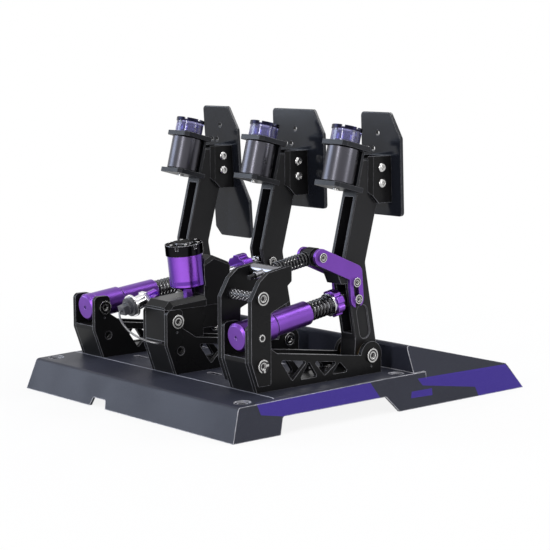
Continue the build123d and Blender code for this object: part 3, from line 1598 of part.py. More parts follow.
# Frame screws: all the fasteners that stay with the tray
frame_screws = []
for pedal in pedal_names:
    for screw_y in base_screw_ys:
        seat = Plane(origin=(pedal_x[pedal], screw_y, deck_height + floor_height))
        frame_screws.append(make_screw(seat, (base_screw_head_radius, base_screw_head_height),
                                       (base_screw_radius, floor_height)))
    for side in (-1, 1):
        y, z = side_screw(pedal)[:2]
        if pedal == "clutch":
            seats = [(module_width / 2 + tower_plate, y, z, (tower_head_radius, tower_head_height),
                      (tower_bolt_radius, tower_plate + side_plate + side_screw_length)),
                     (module_width / 2 + tower_plate, y, tower_bolt_high_z,
                      (tower_head_radius, tower_head_height),
                      (tower_bolt_radius, tower_plate + side_screw_length))]
        else:
            seats = [(inner_gap / 2, y, z, (side_screw_head_radius, side_screw_head_height),
                      (small_screw_radius, side_screw_length))]
        for reach, seat_y, seat_z, head, shank in seats:
            seat = Plane(origin=(pedal_x[pedal] + side * reach, seat_y, seat_z),
                         x_dir=(0, 1, 0), z_dir=(side, 0, 0))
            frame_screws.append(make_screw(seat, head, shank))
lid = reservoir_frame().offset(reservoir_height + cap_lid_height)
for index in range(cap_screw_count):
    angle = radians(360 * (index + 0.5) / cap_screw_count)
    place = lid.from_local_coords((cap_screw_circle * cos(angle), cap_screw_circle * sin(angle), 0))
    frame_screws.append(make_screw(Plane(origin=place, x_dir=(1, 0, 0), z_dir=lid.z_dir),
                                   (cap_screw_radius, cap_screw_height),
                                   (cap_hole_radius - running_fit, cap_spigot - side_gap)))
with BuildPart() as screws:
    for screw in frame_screws:
        add(screw)
save(screws, "frame_screws")
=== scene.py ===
from math import cos, pi, radians, sin

import bpy
from mathutils import Matrix, Vector


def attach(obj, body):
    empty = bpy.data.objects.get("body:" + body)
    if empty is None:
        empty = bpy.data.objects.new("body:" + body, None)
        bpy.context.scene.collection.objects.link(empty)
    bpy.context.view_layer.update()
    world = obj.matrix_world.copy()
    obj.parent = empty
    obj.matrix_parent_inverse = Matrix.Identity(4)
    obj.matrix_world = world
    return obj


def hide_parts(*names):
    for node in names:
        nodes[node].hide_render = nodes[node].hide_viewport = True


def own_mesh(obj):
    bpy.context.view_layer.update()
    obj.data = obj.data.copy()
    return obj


# The pedal set's looks: a finish for every piece, wound springs, knurling, lamps, floor and camera.
# X to the driver's right, the driver at -Y, Z up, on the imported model's frame. The scene is in metres,
# and sizes given in millimetres are multiplied by mm.

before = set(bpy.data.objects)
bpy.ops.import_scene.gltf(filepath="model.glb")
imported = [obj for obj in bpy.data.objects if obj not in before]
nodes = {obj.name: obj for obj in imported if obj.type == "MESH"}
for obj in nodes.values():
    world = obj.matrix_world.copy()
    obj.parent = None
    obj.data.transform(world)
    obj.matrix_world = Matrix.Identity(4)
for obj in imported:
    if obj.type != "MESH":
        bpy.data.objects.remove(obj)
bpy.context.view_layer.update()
mm = 0.001

# Places on the pedals that the finishes and wound pieces follow
module_x = {"clutch": -115 * mm, "brake": 5 * mm, "throttle": 125 * mm}
damper_rear = Vector((0, 135, 84.3)) * mm
damper_lines = {"clutch": Vector((0, 6 - 135, 106 - 84.3)).normalized(),
                "throttle": Vector((0, 6 - 135, 99 - 84.3)).normalized()}
toggle_eye = Vector((0, 52, 149.5)) * mm
toggle_pivot = Vector((0, 108, 140)) * mm
cross_bar_centre = Vector((-115, 135.5, 120.6)) * mm
damper_line = damper_lines["clutch"]
toggle_line = (toggle_pivot - toggle_eye).normalized()
brake_line = (Vector((0, 8, 131)) - Vector((0, 83, 119.3))).normalized()
motor_origin = Vector((0, 1.606, 218)) * mm
motor_line = Vector((0, -0.247383, 0.968918))
reservoir_lean = radians(7.0)
reservoir_line = Vector((0, sin(reservoir_lean), cos(reservoir_lean)))
reservoir_foot = Vector((5, 106.5, 114.5)) * mm


# Small helpers for wiring a node tree
class Bench:
    """A node tree with short calls for placing and wiring nodes."""

    def __init__(self, tree):
        self.tree = tree

    def put(self, kind, **settings):
        node = self.tree.nodes.new(kind)
        for key, value in settings.items():
            setattr(node, key, value)
        return node

    def wire(self, value, socket):
        if isinstance(value, bpy.types.NodeSocket):
            self.tree.links.new(value, socket)
        else:
            socket.default_value = value

    def maths(self, operation, first, second=0.0, third=None):
        node = self.put("ShaderNodeMath", operation=operation)
        self.wire(first, node.inputs[0])
        self.wire(second, node.inputs[1])
        if third is not None:
            self.wire(third, node.inputs[2])
        return node.outputs[0]

    def vector(self, operation, first, second=(0, 0, 0)):
        node = self.put("ShaderNodeVectorMath", operation=operation)
        self.wire(first, node.inputs[0])
        self.wire(second, node.inputs[1])
        return node.outputs["Value" if operation in ("DOT_PRODUCT", "LENGTH") else "Vector"]

    def span(self, value, low, high, to_low=0.0, to_high=1.0, smooth=True):
        node = self.put("ShaderNodeMapRange", interpolation_type="SMOOTHSTEP" if smooth else "LINEAR")
        self.wire(value, node.inputs["Value"])
        for label, amount in (("From Min", low), ("From Max", high),
                              ("To Min", to_low), ("To Max", to_high)):
            self.wire(amount, node.inputs[label])
        return node.outputs[0]

    def blend(self, amount, first, second):
        node = self.put("ShaderNodeMix", data_type="RGBA")
        self.wire(amount, node.inputs[0])
        self.wire(first, node.inputs[6])
        self.wire(second, node.inputs[7])
        return node.outputs[2]

    def noise(self, place, scale, detail=2.0, roughness=0.5):
        node = self.put("ShaderNodeTexNoise")
        for label, value in (("Vector", place), ("Scale", scale),
                             ("Detail", detail), ("Roughness", roughness)):
            self.wire(value, node.inputs[label])
        return node.outputs[0]

    def seen_rays(self):
        """One for rays that show the background: the camera's, mirrored ones and those through glass."""
        path = self.put("ShaderNodeLightPath")
        return self.maths("MAXIMUM", path.outputs["Is Camera Ray"],
                          self.maths("MAXIMUM", path.outputs["Is Glossy Ray"],
                                     path.outputs["Is Transmission Ray"]))


def effect(name, inputs, outputs):
    """An empty shader effect with named inputs and outputs, shared by several finishes."""
    tree = bpy.data.node_groups.new(name, "ShaderNodeTree")
    for label, kind, value in inputs:
        tree.interface.new_socket(label, in_out="INPUT", socket_type=kind).default_value = value
    for label, kind in outputs:
        tree.interface.new_socket(label, in_out="OUTPUT", socket_type=kind)
    bench = Bench(tree)
    return bench, bench.put("NodeGroupInput"), bench.put("NodeGroupOutput")


def make_worn_and_highlit_edge():
    """Rounds the look of every edge and masks the edges, which the finishes lighten: partly as wear where
    the finish is thin, partly as a painted highlight where edges catch light.
    """
    bench, inlet, outlet = effect(
        "worn_and_highlit_edge",
        (("Width", "NodeSocketFloat", 0.0006), ("Patchiness", "NodeSocketFloat", 0.5)),
        (("Normal", "NodeSocketVector"), ("Edge", "NodeSocketFloat")))
    flat_likeness, turned_likeness = 0.985, 0.90
    patch_scale, patch_start, patch_end = 160.0, 0.38, 0.62
    bevel = bench.put("ShaderNodeBevel", samples=8)
    bench.wire(inlet.outputs["Width"], bevel.inputs["Radius"])
    plain = bench.put("ShaderNodeNewGeometry")
    likeness = bench.vector("DOT_PRODUCT", bevel.outputs[0], plain.outputs["Normal"])
    edge = bench.span(likeness, flat_likeness, turned_likeness)
    place = bench.put("ShaderNodeTexCoord").outputs["Object"]
    patches = bench.noise(place, patch_scale, detail=3.0, roughness=0.6)
    patches = bench.span(patches, patch_start, patch_end)
    worn = bench.maths("MULTIPLY", patches, inlet.outputs["Patchiness"])
    keep = bench.maths("SUBTRACT", 1.0, worn)
    bench.wire(bevel.outputs[0], outlet.inputs["Normal"])
    bench.wire(bench.maths("MULTIPLY", edge, keep), outlet.inputs["Edge"])
    return bench.tree


def make_fine_grain():
    """Blasted or sprayed grain, sparse lighter specks, and a broad change of tone from handling."""
    bench, inlet, outlet = effect(
        "fine_grain",
        (("Grain Scale", "NodeSocketFloat", 1800.0), ("Tone Scale", "NodeSocketFloat", 14.0)),
        (("Height", "NodeSocketFloat"), ("Speck", "NodeSocketFloat"), ("Tone", "NodeSocketFloat")))
    speck_start, speck_end = 0.60, 0.74
    tone_start, tone_end = 0.3, 0.7
    place = bench.put("ShaderNodeTexCoord").outputs["Object"]
    grain = bench.noise(place, inlet.outputs["Grain Scale"], detail=2.0, roughness=0.6)
    bench.wire(grain, outlet.inputs["Height"])
    bench.wire(bench.span(grain, speck_start, speck_end), outlet.inputs["Speck"])
    tone = bench.noise(place, inlet.outputs["Tone Scale"], detail=4.0, roughness=0.55)
    bench.wire(bench.span(tone, tone_start, tone_end), outlet.inputs["Tone"])
    return bench.tree


def make_turned_rings():
    """Fine rings that a lathe leaves round an axis."""
    bench, inlet, outlet = effect(
        "turned_rings",
        (("Axis", "NodeSocketVector", (0, 0, 1)), ("Pitch", "NodeSocketFloat", 0.0005)),
        (("Height", "NodeSocketFloat"),))
    place = bench.put("ShaderNodeTexCoord").outputs["Object"]
    along = bench.vector("DOT_PRODUCT", place, inlet.outputs["Axis"])
    turns = bench.maths("DIVIDE", along, inlet.outputs["Pitch"])
    wave = bench.maths("SINE", bench.maths("MULTIPLY", turns, 2 * pi))
    unevenness_scale = 90.0
    uneven = bench.noise(place, unevenness_scale, detail=1.0)
    height = bench.maths("MULTIPLY_ADD", wave, 0.5, 0.5)
    bench.wire(bench.maths("MULTIPLY", height, uneven), outlet.inputs["Height"])
    return bench.tree


worn_and_highlit_edge = make_worn_and_highlit_edge()
fine_grain = make_fine_grain()
turned_rings = make_turned_rings()


def opaque(colour, share=1.0):
    """A colour with full alpha, its channels scaled by a share."""
    return tuple(channel * share for channel in colour) + (1.0,)


def finish(name, colour, roughness, metallic=0.0, specular=0.5, edge_colour=(0.2, 0.2, 0.22),
           edge_amount=0.4, edge_width=0.6, patchiness=0.4, grain_scale=2200.0, grain_depth=0.02,
           tone_depth=0.12, axis=None, ring_depth=0.01, ring_pitch=0.5, coat=0.0, coat_roughness=0.1,
           grazing=1.0, overlay=None):
    """The finish of an opaque piece. Widths, depths and pitches are in millimetres.

    Below 1, grazing dims what a metal mirrors at a flat angle. An axis adds turned rings round it.
    An overlay takes and returns the base colour and the roughness.
    """
    material = bpy.data.materials.new(name)
    material.use_nodes = True
    bench = Bench(material.node_tree)
    skin = material.node_tree.nodes["Principled BSDF"]
    edge = bench.put("ShaderNodeGroup", node_tree=worn_and_highlit_edge)
    edge.inputs["Width"].default_value = edge_width * mm
    edge.inputs["Patchiness"].default_value = patchiness
    grain = bench.put("ShaderNodeGroup", node_tree=fine_grain)
    grain.inputs["Grain Scale"].default_value = grain_scale
    tone, less, more = grain.outputs["Tone"], 1 - tone_depth, 1 + tone_depth
    shade = bench.blend(tone, opaque(colour, less), opaque(colour, more))
    rough = bench.span(tone, 0.0, 1.0, roughness * more, roughness * less)
    if overlay:
        shade, rough = overlay(bench, shade, rough, grain)
    # The edge mask lightens the base colour towards the edge colour: partly wear, partly a painted
    # highlight.
    edge_share = bench.maths("MULTIPLY", edge.outputs["Edge"], edge_amount)
    bench.wire(bench.blend(edge_share, shade, opaque(edge_colour)), skin.inputs["Base Color"])
    bench.wire(rough, skin.inputs["Roughness"])
    skin.inputs["Metallic"].default_value = metallic
    skin.inputs["Specular IOR Level"].default_value = specular
    skin.inputs["Specular Tint"].default_value = (grazing, grazing, grazing, 1)
    skin.inputs["Coat Weight"].default_value = coat
    skin.inputs["Coat Roughness"].default_value = coat_roughness
    bump = bench.put("ShaderNodeBump")
    bump.inputs["Distance"].default_value = grain_depth * mm
    bench.wire(grain.outputs["Height"], bump.inputs["Height"])
    bench.wire(edge.outputs["Normal"], bump.inputs["Normal"])
    normal = bump.outputs[0]
    if axis is not None:
        rings = bench.put("ShaderNodeGroup", node_tree=turned_rings)
        rings.inputs["Axis"].default_value = tuple(axis)
        rings.inputs["Pitch"].default_value = ring_pitch * mm
        ring_bump = bench.put("ShaderNodeBump")
        ring_bump.inputs["Distance"].default_value = ring_depth * mm
        bench.wire(rings.outputs["Height"], ring_bump.inputs["Height"])
        bench.wire(normal, ring_bump.inputs["Normal"])
        normal = ring_bump.outputs[0]
    bench.wire(normal, skin.inputs["Normal"])
    return material


# Purple bands on the tray's side skirts. Their corners are in millimetres along Y and Z.
def half_plane(bench, along, height, start, end):
    """Distance from a line through two points, of opposite sign on its two sides."""
    run, rise = end[0] - start[0], end[1] - start[1]
    length = (run * run + rise * rise) ** 0.5
    first = bench.maths("MULTIPLY", bench.maths("SUBTRACT", along, start[0] * mm), -rise / length)
    second = bench.maths("MULTIPLY", bench.maths("SUBTRACT", height, start[1] * mm), run / length)
    return bench.maths("ADD", first, second)


def convex_patch(bench, along, height, corners):
    """The distance inside a convex patch, positive within it and negative outside."""
    inside = None
    for start, end in zip(corners, corners[1:] + corners[:1]):
        distance = half_plane(bench, along, height, start, end)
        inside = distance if inside is None else bench.maths("MINIMUM", inside, distance)
    return inside


rear_band = ((160.5, 32.2), (20.6, 31.8), (8.5, 15.0), (124.0, 15.0), (156.5, 20.8))
front_band_top = ((-42.0, 27.6), (-168.0, 26.0), (-192.0, -1.0), (-122.0, 9.4), (-57.0, 9.6))
front_band_strip = ((-32.5, 16.4), (-60.0, 16.2), (-60.0, 9.6), (-30.5, 10.4))
front_band_foot = ((-120.5, 9.6), (-192.0, 9.6), (-192.0, -1.0), (-124.8, -1.0))
skirt_patches = (rear_band, front_band_top, front_band_strip, front_band_foot)
band_blur = 0.15
band_tone, band_speck = (0.044, 0.025, 0.240), (0.070, 0.045, 0.32)
coat_speck = (0.060, 0.063, 0.078)

# The deck's fold towards the rear, with a painted highlight: a light line laid into the base colour
crease_y = 137.5
crease_outer, crease_inner = 1.1, 0.4
crease_floor, crease_full = 32.0, 32.5
crease_highlight_tone = (0.42, 0.43, 0.50)


def skirt_bands(bench, shade, rough, grain):
    """Lays the violet bands, and a painted highlight as a light line along the deck's fold, over the
    tray's coat.
    """
    place = bench.put("ShaderNodeTexCoord").outputs["Object"]
    axes = bench.put("ShaderNodeSeparateXYZ")
    bench.wire(place, axes.inputs[0])
    across, along, height = axes.outputs
    facing = bench.put("ShaderNodeSeparateXYZ")
    bench.wire(bench.put("ShaderNodeNewGeometry").outputs["True Normal"], facing.inputs[0])
    inside = None
    for corners in skirt_patches:
        patch = convex_patch(bench, along, height, corners)
        inside = patch if inside is None else bench.maths("MAXIMUM", inside, patch)
    patch = bench.span(inside, -band_blur * mm, band_blur * mm)
    # The normal's X times the place's X is large only on the outer faces of the side skirts
    skirt_start, skirt_full = 0.05, 0.09
    outward = bench.maths("MULTIPLY", facing.outputs[0], across)
    outward = bench.span(outward, skirt_start, skirt_full)
    mask = bench.maths("MULTIPLY", patch, outward)
    speck = grain.outputs["Speck"]
    band = bench.blend(speck, opaque(band_tone), opaque(band_speck))
    coat = bench.blend(speck, shade, opaque(coat_speck))
    # A painted highlight: a light line along the deck's fold
    fold = bench.maths("ABSOLUTE", bench.maths("SUBTRACT", along, crease_y * mm))
    fold = bench.maths("MULTIPLY", bench.span(fold, crease_outer * mm, crease_inner * mm),
                       bench.span(height, crease_floor * mm, crease_full * mm))
    return bench.blend(fold, bench.blend(mask, coat, band), opaque(crease_highlight_tone)), rough


# Heads of the screws and pins that run along X: Y, Z and the radius that their rings are measured
# from, in millimetres
screw_heads = ((135.5, 59.0, 6.2), (135.5, 120.6, 6.2), (-7.0, 51.0, 6.8), (135.0, 84.3, 6.8),
               (130.5, 55.5, 9.0), (8.5, 122.5, 4.5), (6.0, 106.0, 4.5), (52.0, 149.5, 4.5),
               (8.0, 131.0, 4.5))
# Shares of that radius, where the groove starts, is full, is full up to and ends
groove_start, groove_full, groove_last, groove_end = 0.54, 0.60, 0.78, 0.84
socket_full, socket_end = 0.32, 0.38
# Colour and share of the painted shade in each head's groove and socket
head_shade_tone, head_shade_share = (0.012, 0.012, 0.014), 0.95


def head_recess_shade(bench, shade, rough, grain):
    """Paints shade into the groove and the socket of every head that runs along X."""
    axes = bench.put("ShaderNodeSeparateXYZ")
    bench.wire(bench.put("ShaderNodeTexCoord").outputs["Object"], axes.inputs[0])
    nearest = None
    for centre_y, centre_z, radius in screw_heads:
        along = bench.maths("SUBTRACT", axes.outputs[1], centre_y * mm)
        height = bench.maths("SUBTRACT", axes.outputs[2], centre_z * mm)
        reach = bench.maths("SQRT", bench.maths("ADD", bench.maths("MULTIPLY", along, along),
                                                bench.maths("MULTIPLY", height, height)))
        reach = bench.maths("DIVIDE", reach, radius * mm)
        nearest = reach if nearest is None else bench.maths("MINIMUM", nearest, reach)
    groove = bench.maths("MULTIPLY", bench.span(nearest, groove_start, groove_full),
                         bench.span(nearest, groove_end, groove_last))
    dark = bench.maths("MAXIMUM", groove, bench.span(nearest, socket_end, socket_full))
    dark = bench.maths("MULTIPLY", dark, head_shade_share)
    return bench.blend(dark, shade, opaque(head_shade_tone)), rough


def distance_along(bench, origin, line):
    """How far the shaded place lies from an origin, along a line."""
    place = bench.put("ShaderNodeTexCoord").outputs["Object"]
    return bench.vector("DOT_PRODUCT", bench.vector("SUBTRACT", place, tuple(origin)), tuple(line))


# The reservoir's painted shading: how its violet darkens to the sides as painted shade, leaving a painted
# sheen in the middle, and its darker band above its foot
cup_shade_tone = (0.055, 0.013, 0.230)
cup_blend, cup_clear, cup_side = 0.42, 0.03, 0.42
cup_side_share, cup_floor_share = 0.92, 0.7
floor_start, floor_full, floor_last, floor_end = 3.2, 4.0, 6.6, 8.0


def cup_painted_shading(bench, shade, rough, grain):
    """Darkens the reservoir's violet to its sides by the viewing angle, a painted shade that leaves a
    painted sheen in the middle, and darkens a band near its foot.
    """
    # Painted shade towards the sides by the viewing angle, which leaves a painted sheen in the middle
    facing = bench.put("ShaderNodeLayerWeight")
    facing.inputs["Blend"].default_value = cup_blend
    sides = bench.span(facing.outputs["Facing"], cup_clear, cup_side)
    along = distance_along(bench, reservoir_foot, reservoir_line)
    # A darker band near the foot
    foot = bench.maths("MULTIPLY", bench.span(along, floor_start * mm, floor_full * mm),
                       bench.span(along, floor_end * mm, floor_last * mm))
    cup_darkening = bench.maths("MAXIMUM", bench.maths("MULTIPLY", sides, cup_side_share),
                       bench.maths("MULTIPLY", foot, cup_floor_share))
    return bench.blend(cup_darkening, shade, opaque(cup_shade_tone)), rough


# Where the motor's black end ring starts above the motor's origin, in millimetres, and its colour
ring_start, ring_full = 42.5, 42.7
ring_tone = (0.008, 0.008, 0.022)


def motor_ring(bench, shade, rough, grain):
    """Makes the motor's notched end ring black, above the bare metal of its can."""
    ring = bench.span(distance_along(bench, motor_origin, motor_line), ring_start * mm, ring_full * mm)
    return bench.blend(ring, shade, opaque(ring_tone)), rough


# Edge colours, lighter than their pieces: partly wear, partly a painted highlight on the edges
black_edge = (0.32, 0.32, 0.35)
violet = (0.215, 0.068, 0.470)
violet_edge = (0.62, 0.42, 0.84)
finishes = {
    "textured_coat": finish("textured_coat", (0.024, 0.026, 0.039), 0.42, specular=0.16,
                            edge_colour=(0.72, 0.72, 0.78), edge_amount=0.9, edge_width=1.5,
                            patchiness=0.35, grain_scale=1500.0, grain_depth=0.10, tone_depth=0.08,
                            overlay=skirt_bands),
    "black_plate": finish("black_plate", (0.0078, 0.0078, 0.0084), 0.30, specular=0.10,
                          edge_colour=black_edge, edge_amount=0.95, edge_width=0.7, patchiness=0.3),
    "black_arm": finish("black_arm", (0.0140, 0.0140, 0.0155), 0.32, specular=0.14,
                        edge_colour=black_edge, edge_amount=0.85, edge_width=0.9, patchiness=0.2),
    "pad_black": finish("pad_black", (0.0098, 0.0112, 0.0160), 0.12, specular=0.27,
                        edge_colour=black_edge, edge_amount=0.60, edge_width=0.8, grain_depth=0.006),
    "bracket_black": finish("bracket_black", (0.014, 0.015, 0.019), 0.36, specular=0.18,
                            edge_colour=black_edge, edge_amount=0.50, edge_width=0.7),
    "violet_link": finish("violet_link", (0.165, 0.054, 0.37), 0.42, metallic=0.85,
                          edge_colour=violet_edge, edge_amount=0.5, edge_width=0.4),
    "violet_damper": finish("violet_damper", (0.165, 0.058, 0.36), 0.32, metallic=0.95,
                            edge_colour=violet_edge, edge_amount=0.5, axis=damper_line,
                            ring_depth=0.006),
    "violet_nut": finish("violet_nut", violet, 0.30, metallic=0.95, edge_colour=violet_edge,
                         edge_amount=0.6, axis=damper_line, ring_depth=0.006),
    "violet_knob": finish("violet_knob", (0.14, 0.04, 0.36), 0.30, metallic=0.95,
                          edge_colour=violet_edge, edge_amount=0.6, axis=brake_line, ring_depth=0.006),
    "violet_reservoir": finish("violet_reservoir", (0.34, 0.105, 0.72), 0.24, metallic=0.95,
                               edge_colour=violet_edge, edge_amount=0.5, axis=reservoir_line,
                               ring_depth=0.004, coat=0.10, coat_roughness=0.10, overlay=cup_painted_shading),
    "violet_fitting": finish("violet_fitting", violet, 0.25, metallic=0.95, edge_colour=violet_edge,
                             edge_amount=0.5),
    "gloss_black_cap": finish("gloss_black_cap", (0.014, 0.014, 0.016), 0.15, metallic=1.0,
                              grazing=0.25, edge_colour=(0.75, 0.75, 0.80), edge_amount=0.8,
                              edge_width=0.5),
    "steel_screw": finish("steel_screw", (0.52, 0.515, 0.51), 0.18, metallic=1.0,
                          edge_colour=(0.95, 0.94, 0.93), edge_amount=0.30, edge_width=0.35,
                          axis=(1, 0, 0), ring_depth=0.004, ring_pitch=0.35, overlay=head_recess_shade),
    "steel_rod": finish("steel_rod", (0.50, 0.50, 0.52), 0.22, metallic=1.0,
                        edge_colour=(0.8, 0.8, 0.82), edge_amount=0.4, axis=damper_line,
                        ring_depth=0.005, ring_pitch=0.4),
    "clevis_steel": finish("clevis_steel", (0.34, 0.34, 0.37), 0.30, metallic=1.0,
                           edge_colour=(0.8, 0.8, 0.82), edge_amount=0.5),
    "guide_steel": finish("guide_steel", (0.22, 0.22, 0.24), 0.26, metallic=1.0,
                          edge_colour=(0.7, 0.7, 0.72), edge_amount=0.5),
    "black_steel": finish("black_steel", (0.012, 0.012, 0.014), 0.28, metallic=0.4, specular=0.25,
                          edge_colour=(0.3, 0.3, 0.32), edge_amount=0.5, edge_width=0.4),
    "polished_sensor": finish("polished_sensor", (0.72, 0.71, 0.73), 0.10, metallic=1.0,
                              edge_colour=(0.9, 0.9, 0.9), edge_amount=0.4, edge_width=0.3),
    "bush_bronze": finish("bush_bronze", (0.42, 0.30, 0.14), 0.35, metallic=1.0,
                          edge_colour=(0.7, 0.55, 0.3), edge_amount=0.5, axis=(1, 0, 0)),
    "motor_can": finish("motor_can", (0.072, 0.071, 0.084), 0.28, metallic=0.95,
                        edge_colour=(0.35, 0.35, 0.38), edge_amount=0.4, axis=motor_line,
                        ring_depth=0.003, overlay=motor_ring),
    "rotor_weight": finish("rotor_weight", (0.60, 0.59, 0.62), 0.22, metallic=1.0,
                           edge_colour=(0.9, 0.9, 0.9), edge_amount=0.4, axis=motor_line),
    "moulded_plug": finish("moulded_plug", (0.045, 0.045, 0.055), 0.42, specular=0.5,
                           edge_colour=(0.16, 0.16, 0.18), edge_amount=0.4),
    "lead_jacket": finish("lead_jacket", (0.075, 0.075, 0.085), 0.20, specular=0.8,
                          edge_amount=0.0, grain_scale=900.0, coat=0.6, coat_roughness=0.12),
}


def make_clear_cap():
    """Clear violet-tinted cap over the spinning weight, darker at its edges and hazy in places."""
    light_tint, deep_tint, edge_tint = (0.32, 0.31, 0.56), (0.24, 0.23, 0.46), (0.05, 0.05, 0.22)
    clear_rough, hazy_rough = 0.06, 0.12
    edge_width = 0.8
    material = bpy.data.materials.new("clear_violet_cap")
    material.use_nodes = True
    bench = Bench(material.node_tree)
    skin = material.node_tree.nodes["Principled BSDF"]
    grain = bench.put("ShaderNodeGroup", node_tree=fine_grain)
    edge = bench.put("ShaderNodeGroup", node_tree=worn_and_highlit_edge)
    edge.inputs["Width"].default_value = edge_width * mm
    tint = bench.blend(grain.outputs["Tone"], opaque(deep_tint), opaque(light_tint))
    bench.wire(bench.blend(edge.outputs["Edge"], tint, opaque(edge_tint)), skin.inputs["Base Color"])
    bench.wire(bench.span(grain.outputs["Tone"], 0, 1, clear_rough, hazy_rough), skin.inputs["Roughness"])
    skin.inputs["Metallic"].default_value = 0.0
    skin.inputs["Transmission Weight"].default_value = 0.88
    skin.inputs["IOR"].default_value = 1.49
    bench.wire(edge.outputs["Normal"], skin.inputs["Normal"])
    return material


finishes["clear_cap"] = make_clear_cap()

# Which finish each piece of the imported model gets
node_finish = {
    "base_tray": "textured_coat", "frame_screws": "steel_screw", "pivot_shafts": "steel_screw",
    "pivot_bushes": "bush_bronze", "trunnion_pins": "steel_screw", "base_blocks": "black_plate",
    "brake_block": "black_plate", "brake_cover": "black_plate", "brake_reservoir": "violet_reservoir",
    "brake_reservoir_cap": "gloss_black_cap", "brake_fittings": "violet_fitting",
    "brake_sensor": "polished_sensor", "brake_sensor_connector": "moulded_plug",
    "brake_sensor_lead": "lead_jacket", "brake_push_rod": "steel_rod",
    "brake_preload_knob": "violet_knob", "clutch_tower_plates": "black_plate",
    "clutch_cross_bar": "black_steel", "clutch_guide_trunnion": "guide_steel",
    "clutch_toggle_rod": "black_steel", "clutch_toggle_spring": "black_steel",
    "clutch_link_core": "black_arm", "clutch_link_plates": "violet_link",
}
pedal_finish = {
    "side_plates": "black_plate", "arm": "black_arm", "pad": "pad_black", "pad_bracket": "black_plate",
    "arm_screws": "steel_screw", "haptic_bracket": "bracket_black", "haptic_motor": "motor_can",
    "haptic_cap": "clear_cap", "haptic_rotor": "rotor_weight", "damper_body": "violet_damper",
    "damper_rod": "steel_rod", "damper_clevis": "clevis_steel", "damper_spring": "black_steel",
    "preload_nut": "violet_nut",
}
for pedal in module_x:
    for piece, chosen in pedal_finish.items():
        if pedal + "_" + piece in nodes:
            node_finish[pedal + "_" + piece] = chosen

for name, node in nodes.items():
    node.data.materials.clear()
    node.data.materials.append(finishes[node_finish[name]])


# Wound springs and knurling, laid out by geometry nodes
def wound_tree(name, sizes):
    """A geometry tree with named sizes, and its bench, inlet and outlet."""
    tree = bpy.data.node_groups.new(name, "GeometryNodeTree")
    tree.interface.new_socket("Geometry", in_out="OUTPUT", socket_type="NodeSocketGeometry")
    tree.interface.new_socket("Geometry", in_out="INPUT", socket_type="NodeSocketGeometry")
    for label, kind in sizes:
        tree.interface.new_socket(label, in_out="INPUT", socket_type=kind)
    bench = Bench(tree)
    return bench, bench.put("NodeGroupInput"), bench.put("NodeGroupOutput")


def close_tree(bench, geometry, material, outlet, smooth=True):
    """Shades, realizes and paints the geometry, and sends it to the tree's outlet."""
    shade = bench.put("GeometryNodeSetShadeSmooth")
    bench.wire(geometry, shade.inputs["Geometry"])
    shade.inputs["Shade Smooth"].default_value = smooth
    real = bench.put("GeometryNodeRealizeInstances")
    bench.wire(shade.outputs[0], real.inputs["Geometry"])
    paint = bench.put("GeometryNodeSetMaterial")
    bench.wire(real.outputs[0], paint.inputs["Geometry"])
    paint.inputs["Material"].default_value = material
    bench.wire(paint.outputs[0], outlet.inputs["Geometry"])


def grow(name, tree, sizes, material):
    """Runs a geometry tree with its sizes and keeps the result as a plain mesh."""
    seed = bpy.data.objects.new(name + "_seed", bpy.data.meshes.new(name + "_seed"))
    bpy.context.scene.collection.objects.link(seed)
    modifier = seed.modifiers.new(name, "NODES")
    modifier.node_group = tree
    for item in tree.interface.items_tree:
        if item.item_type == "SOCKET" and item.in_out == "INPUT" and item.name in sizes:
            modifier[item.identifier] = sizes[item.name]
    seed.update_tag()
    evaluated = seed.evaluated_get(bpy.context.evaluated_depsgraph_get())
    mesh = bpy.data.meshes.new_from_object(evaluated)
    mesh.materials.clear()
    mesh.materials.append(material)
    seed.modifiers.clear()
    bpy.data.objects.remove(seed)
    piece = bpy.data.objects.new(name, mesh)
    bpy.context.scene.collection.objects.link(piece)
    return piece


def make_spring_tree(material):
    """A coil of round wire along a line. The wire's two cut ends are closed."""
    points_per_turn, points_round_wire = 40, 16
    bench, inlet, outlet = wound_tree("coil_spring", (
        ("Turns", "NodeSocketFloat"), ("Coil Radius", "NodeSocketFloat"),
        ("Wire Radius", "NodeSocketFloat"), ("Length", "NodeSocketFloat"),
        ("Start", "NodeSocketVector"), ("Tilt", "NodeSocketVector")))
    coil = bench.put("GeometryNodeCurveSpiral")
    coil.inputs["Resolution"].default_value = points_per_turn
    bench.wire(inlet.outputs["Turns"], coil.inputs["Rotations"])
    bench.wire(inlet.outputs["Coil Radius"], coil.inputs["Start Radius"])
    bench.wire(inlet.outputs["Coil Radius"], coil.inputs["End Radius"])
    bench.wire(inlet.outputs["Length"], coil.inputs["Height"])
    wire = bench.put("GeometryNodeCurvePrimitiveCircle")
    wire.inputs["Resolution"].default_value = points_round_wire
    bench.wire(inlet.outputs["Wire Radius"], wire.inputs["Radius"])
    tube = bench.put("GeometryNodeCurveToMesh")
    bench.wire(coil.outputs[0], tube.inputs["Curve"])
    bench.wire(wire.outputs[0], tube.inputs["Profile Curve"])
    tube.inputs["Fill Caps"].default_value = True
    placed = bench.put("GeometryNodeTransform")
    bench.wire(tube.outputs[0], placed.inputs["Geometry"])
    bench.wire(inlet.outputs["Start"], placed.inputs["Translation"])
    bench.wire(inlet.outputs["Tilt"], placed.inputs["Rotation"])
    close_tree(bench, placed.outputs[0], material, outlet)
    return bench.tree


